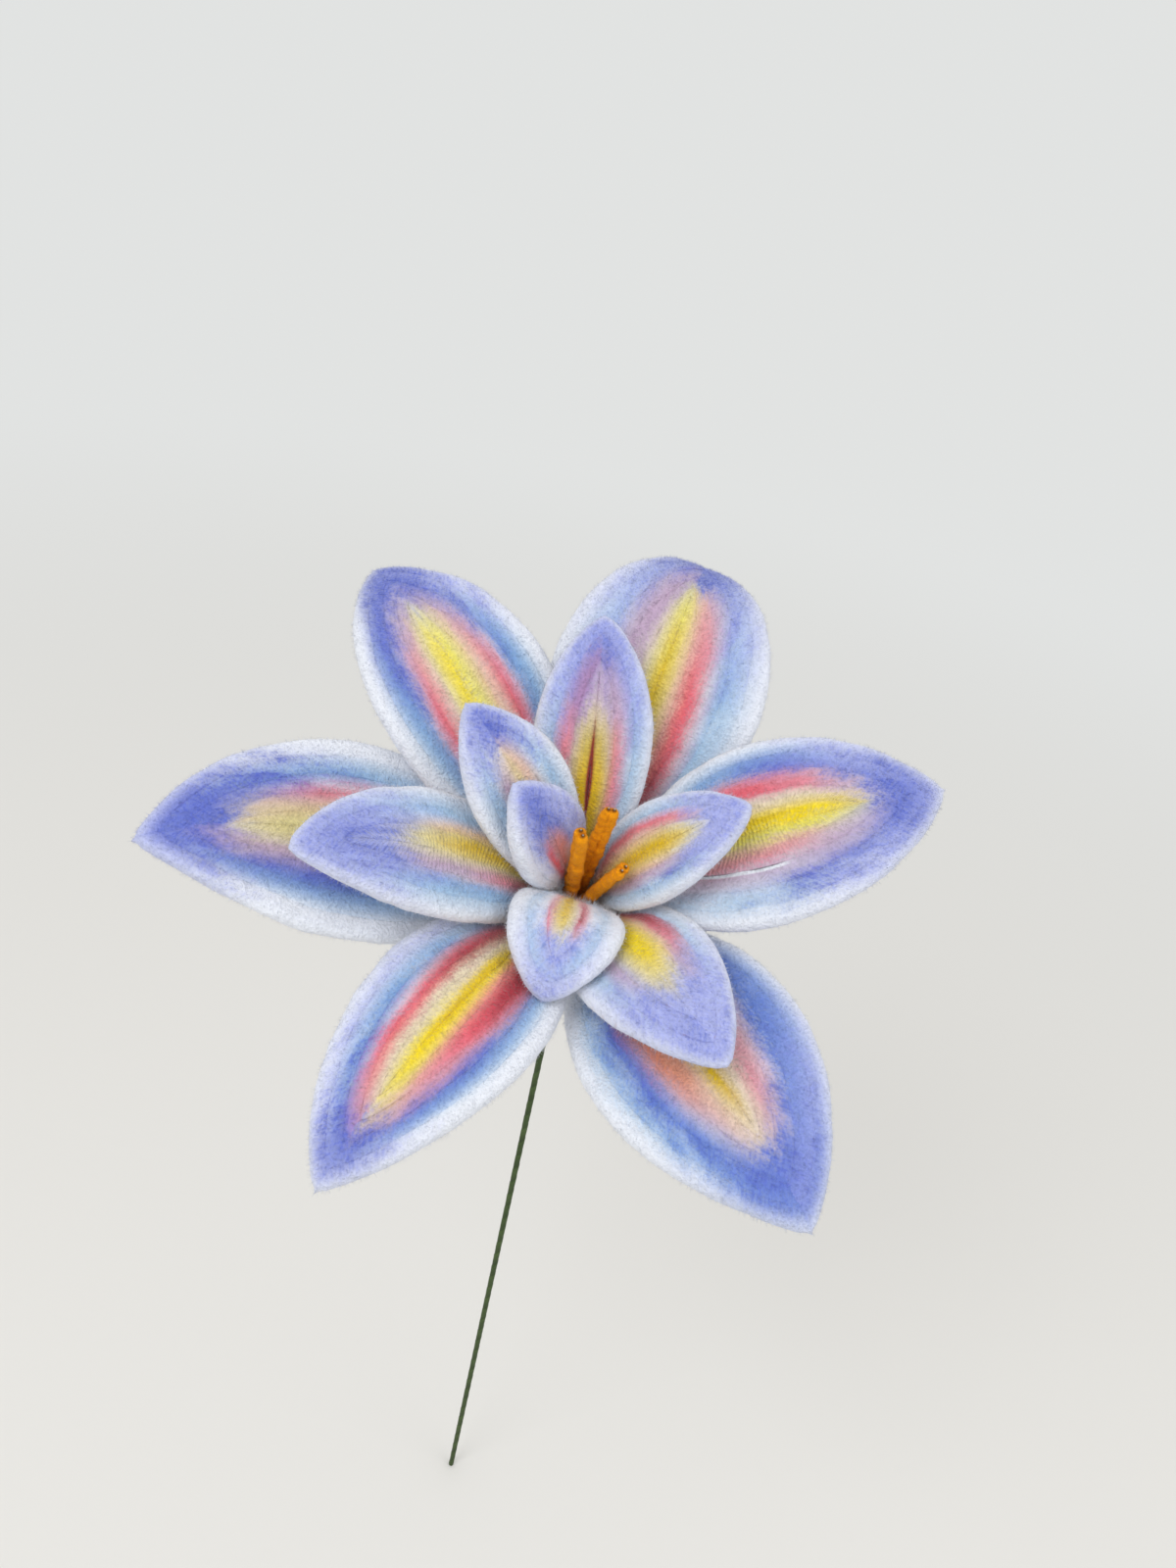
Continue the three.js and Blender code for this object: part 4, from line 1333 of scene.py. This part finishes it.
# The stage, in metres. The camera stands where the photograph was taken from.
FLOOR_RADIUS = 6
FLOOR_FADES = (0.25, 1.6)
SKY_LIGHT = (1.0, 0.995, 0.985, 1.0)
SKY_STRENGTH = 0.84
LAMPS = (
    dict(name="key", place=(-0.55, -0.75, 1.25), size=0.7, power=5.5),
    dict(name="fill", place=(0.8, -0.5, 0.9), size=0.9, power=2.0),
)
LAMPS_AIM = (0, -0.03, 0.34)
CAMERA_PLACE = (-0.00335, -0.29556, 0.54423)
CAMERA_PITCH = math.radians(31)
CAMERA_ROLL = math.radians(-12)
CAMERA_LENS = 27.045


def linked(name, data, place, back, roll=0.0):
    """A lamp or camera that looks against the way back, turned by roll about it."""
    level = normalised(np.cross([0, 0, 1], back))
    upright = np.cross(back, level)
    right = math.cos(roll) * level - math.sin(roll) * upright
    up = math.sin(roll) * level + math.cos(roll) * upright
    obj = bpy.data.objects.new(name, data)
    bpy.context.collection.objects.link(obj)
    turn = Matrix([[right[k], up[k], back[k]] for k in range(3)]).to_4x4()
    obj.matrix_world = Matrix.Translation(place) @ turn
    return obj


def make_lamp(name, place, size, power):
    data = bpy.data.lights.new(name, "AREA")
    data.shape = "DISK"
    data.size = size
    data.energy = power
    linked(name, data, place, normalised(np.subtract(place, LAMPS_AIM)))


def make_floor():
    """A pale floor that fades into the backdrop."""
    bpy.ops.object.select_all(action="DESELECT")
    bpy.ops.mesh.primitive_circle_add(vertices=96, radius=FLOOR_RADIUS, fill_type="NGON")
    floor = bpy.context.object
    floor.name = "floor"
    g = Graph(bpy.data.materials.new("pale_floor"))
    far = g.node("ShaderNodeVectorMath", {"operation": "LENGTH"}, {0: g.place()}, out="Value")
    plain = g.node("ShaderNodeBsdfDiffuse", {}, {"Color": colour("floor")})
    glow = g.node("ShaderNodeEmission", {}, {"Color": colour("backdrop"), "Strength": 1.0})
    fade = far.step(*FLOOR_FADES)
    give_finish(floor, g.finish(g.node("ShaderNodeMixShader", {}, {0: fade, 1: plain, 2: glow})))


def make_world():
    """Even light from all round, and a backdrop that only the camera sees."""
    world = bpy.data.worlds.new("studio")
    bpy.context.scene.world = world
    g = Graph(world, "ShaderNodeOutputWorld")
    seen = g.node("ShaderNodeLightPath", out="Is Camera Ray")
    light, backdrop = (
        g.node("ShaderNodeBackground", {}, {"Color": shade, "Strength": strength})
        for shade, strength in ((SKY_LIGHT, SKY_STRENGTH), (colour("backdrop"), 1.0)))
    g.finish(g.node("ShaderNodeMixShader", {}, {0: seen, 1: light, 2: backdrop}))


def make_camera():
    view = bpy.data.cameras.new("camera")
    view.sensor_width = 36
    view.lens = CAMERA_LENS
    view.clip_start = 0.01
    back = np.array([0, -math.cos(CAMERA_PITCH), math.sin(CAMERA_PITCH)])
    bpy.context.scene.camera = linked("camera", view, CAMERA_PLACE, back, CAMERA_ROLL)


class AMARYLLIS_OT_stage(bpy.types.Operator):
    """Set up the floor, the lamps, the world and the camera."""

    bl_idname = "amaryllis.stage"
    bl_label = "Stage"

    def execute(self, context):
        make_floor()
        make_world()
        for lamp in LAMPS:
            make_lamp(**lamp)
        make_camera()
        context.scene.view_settings.view_transform = "Standard"
        return {"FINISHED"}


class AMARYLLIS_PT_panel(bpy.types.Panel):
    """Sizes, colours and making steps of the flower."""

    bl_label = "Amaryllis"
    bl_space_type = "VIEW_3D"
    bl_region_type = "UI"
    bl_category = "Amaryllis"

    def draw(self, context):
        for group in (context.scene.amaryllis_sizes, context.scene.amaryllis_colours):
            box = self.layout.box()
            for key in group.__annotations__:
                box.prop(group, key)
        for operator in OPERATORS:
            self.layout.operator(operator.bl_idname)


OPERATORS = (
    AMARYLLIS_OT_stage,
    AMARYLLIS_OT_outer_petals,
    AMARYLLIS_OT_middle_petals,
    AMARYLLIS_OT_inner_petals,
    AMARYLLIS_OT_stamens,
    AMARYLLIS_OT_stem,
)
CLASSES = (AmaryllisSizes, AmaryllisColours, *OPERATORS, AMARYLLIS_PT_panel)


def register():
    for cls in CLASSES:
        bpy.utils.register_class(cls)
    bpy.types.Scene.amaryllis_sizes = PointerProperty(type=AmaryllisSizes)
    bpy.types.Scene.amaryllis_colours = PointerProperty(type=AmaryllisColours)


def unregister():
    del bpy.types.Scene.amaryllis_colours
    del bpy.types.Scene.amaryllis_sizes
    for cls in reversed(CLASSES):
        bpy.utils.unregister_class(cls)


def main():
    register()
    bpy.ops.amaryllis.stage()
    bpy.ops.amaryllis.outer_petals()
    bpy.ops.amaryllis.middle_petals()
    bpy.ops.amaryllis.inner_petals()
    bpy.ops.amaryllis.stamens()
    bpy.ops.amaryllis.stem()


if __name__ == "__main__":
    main()
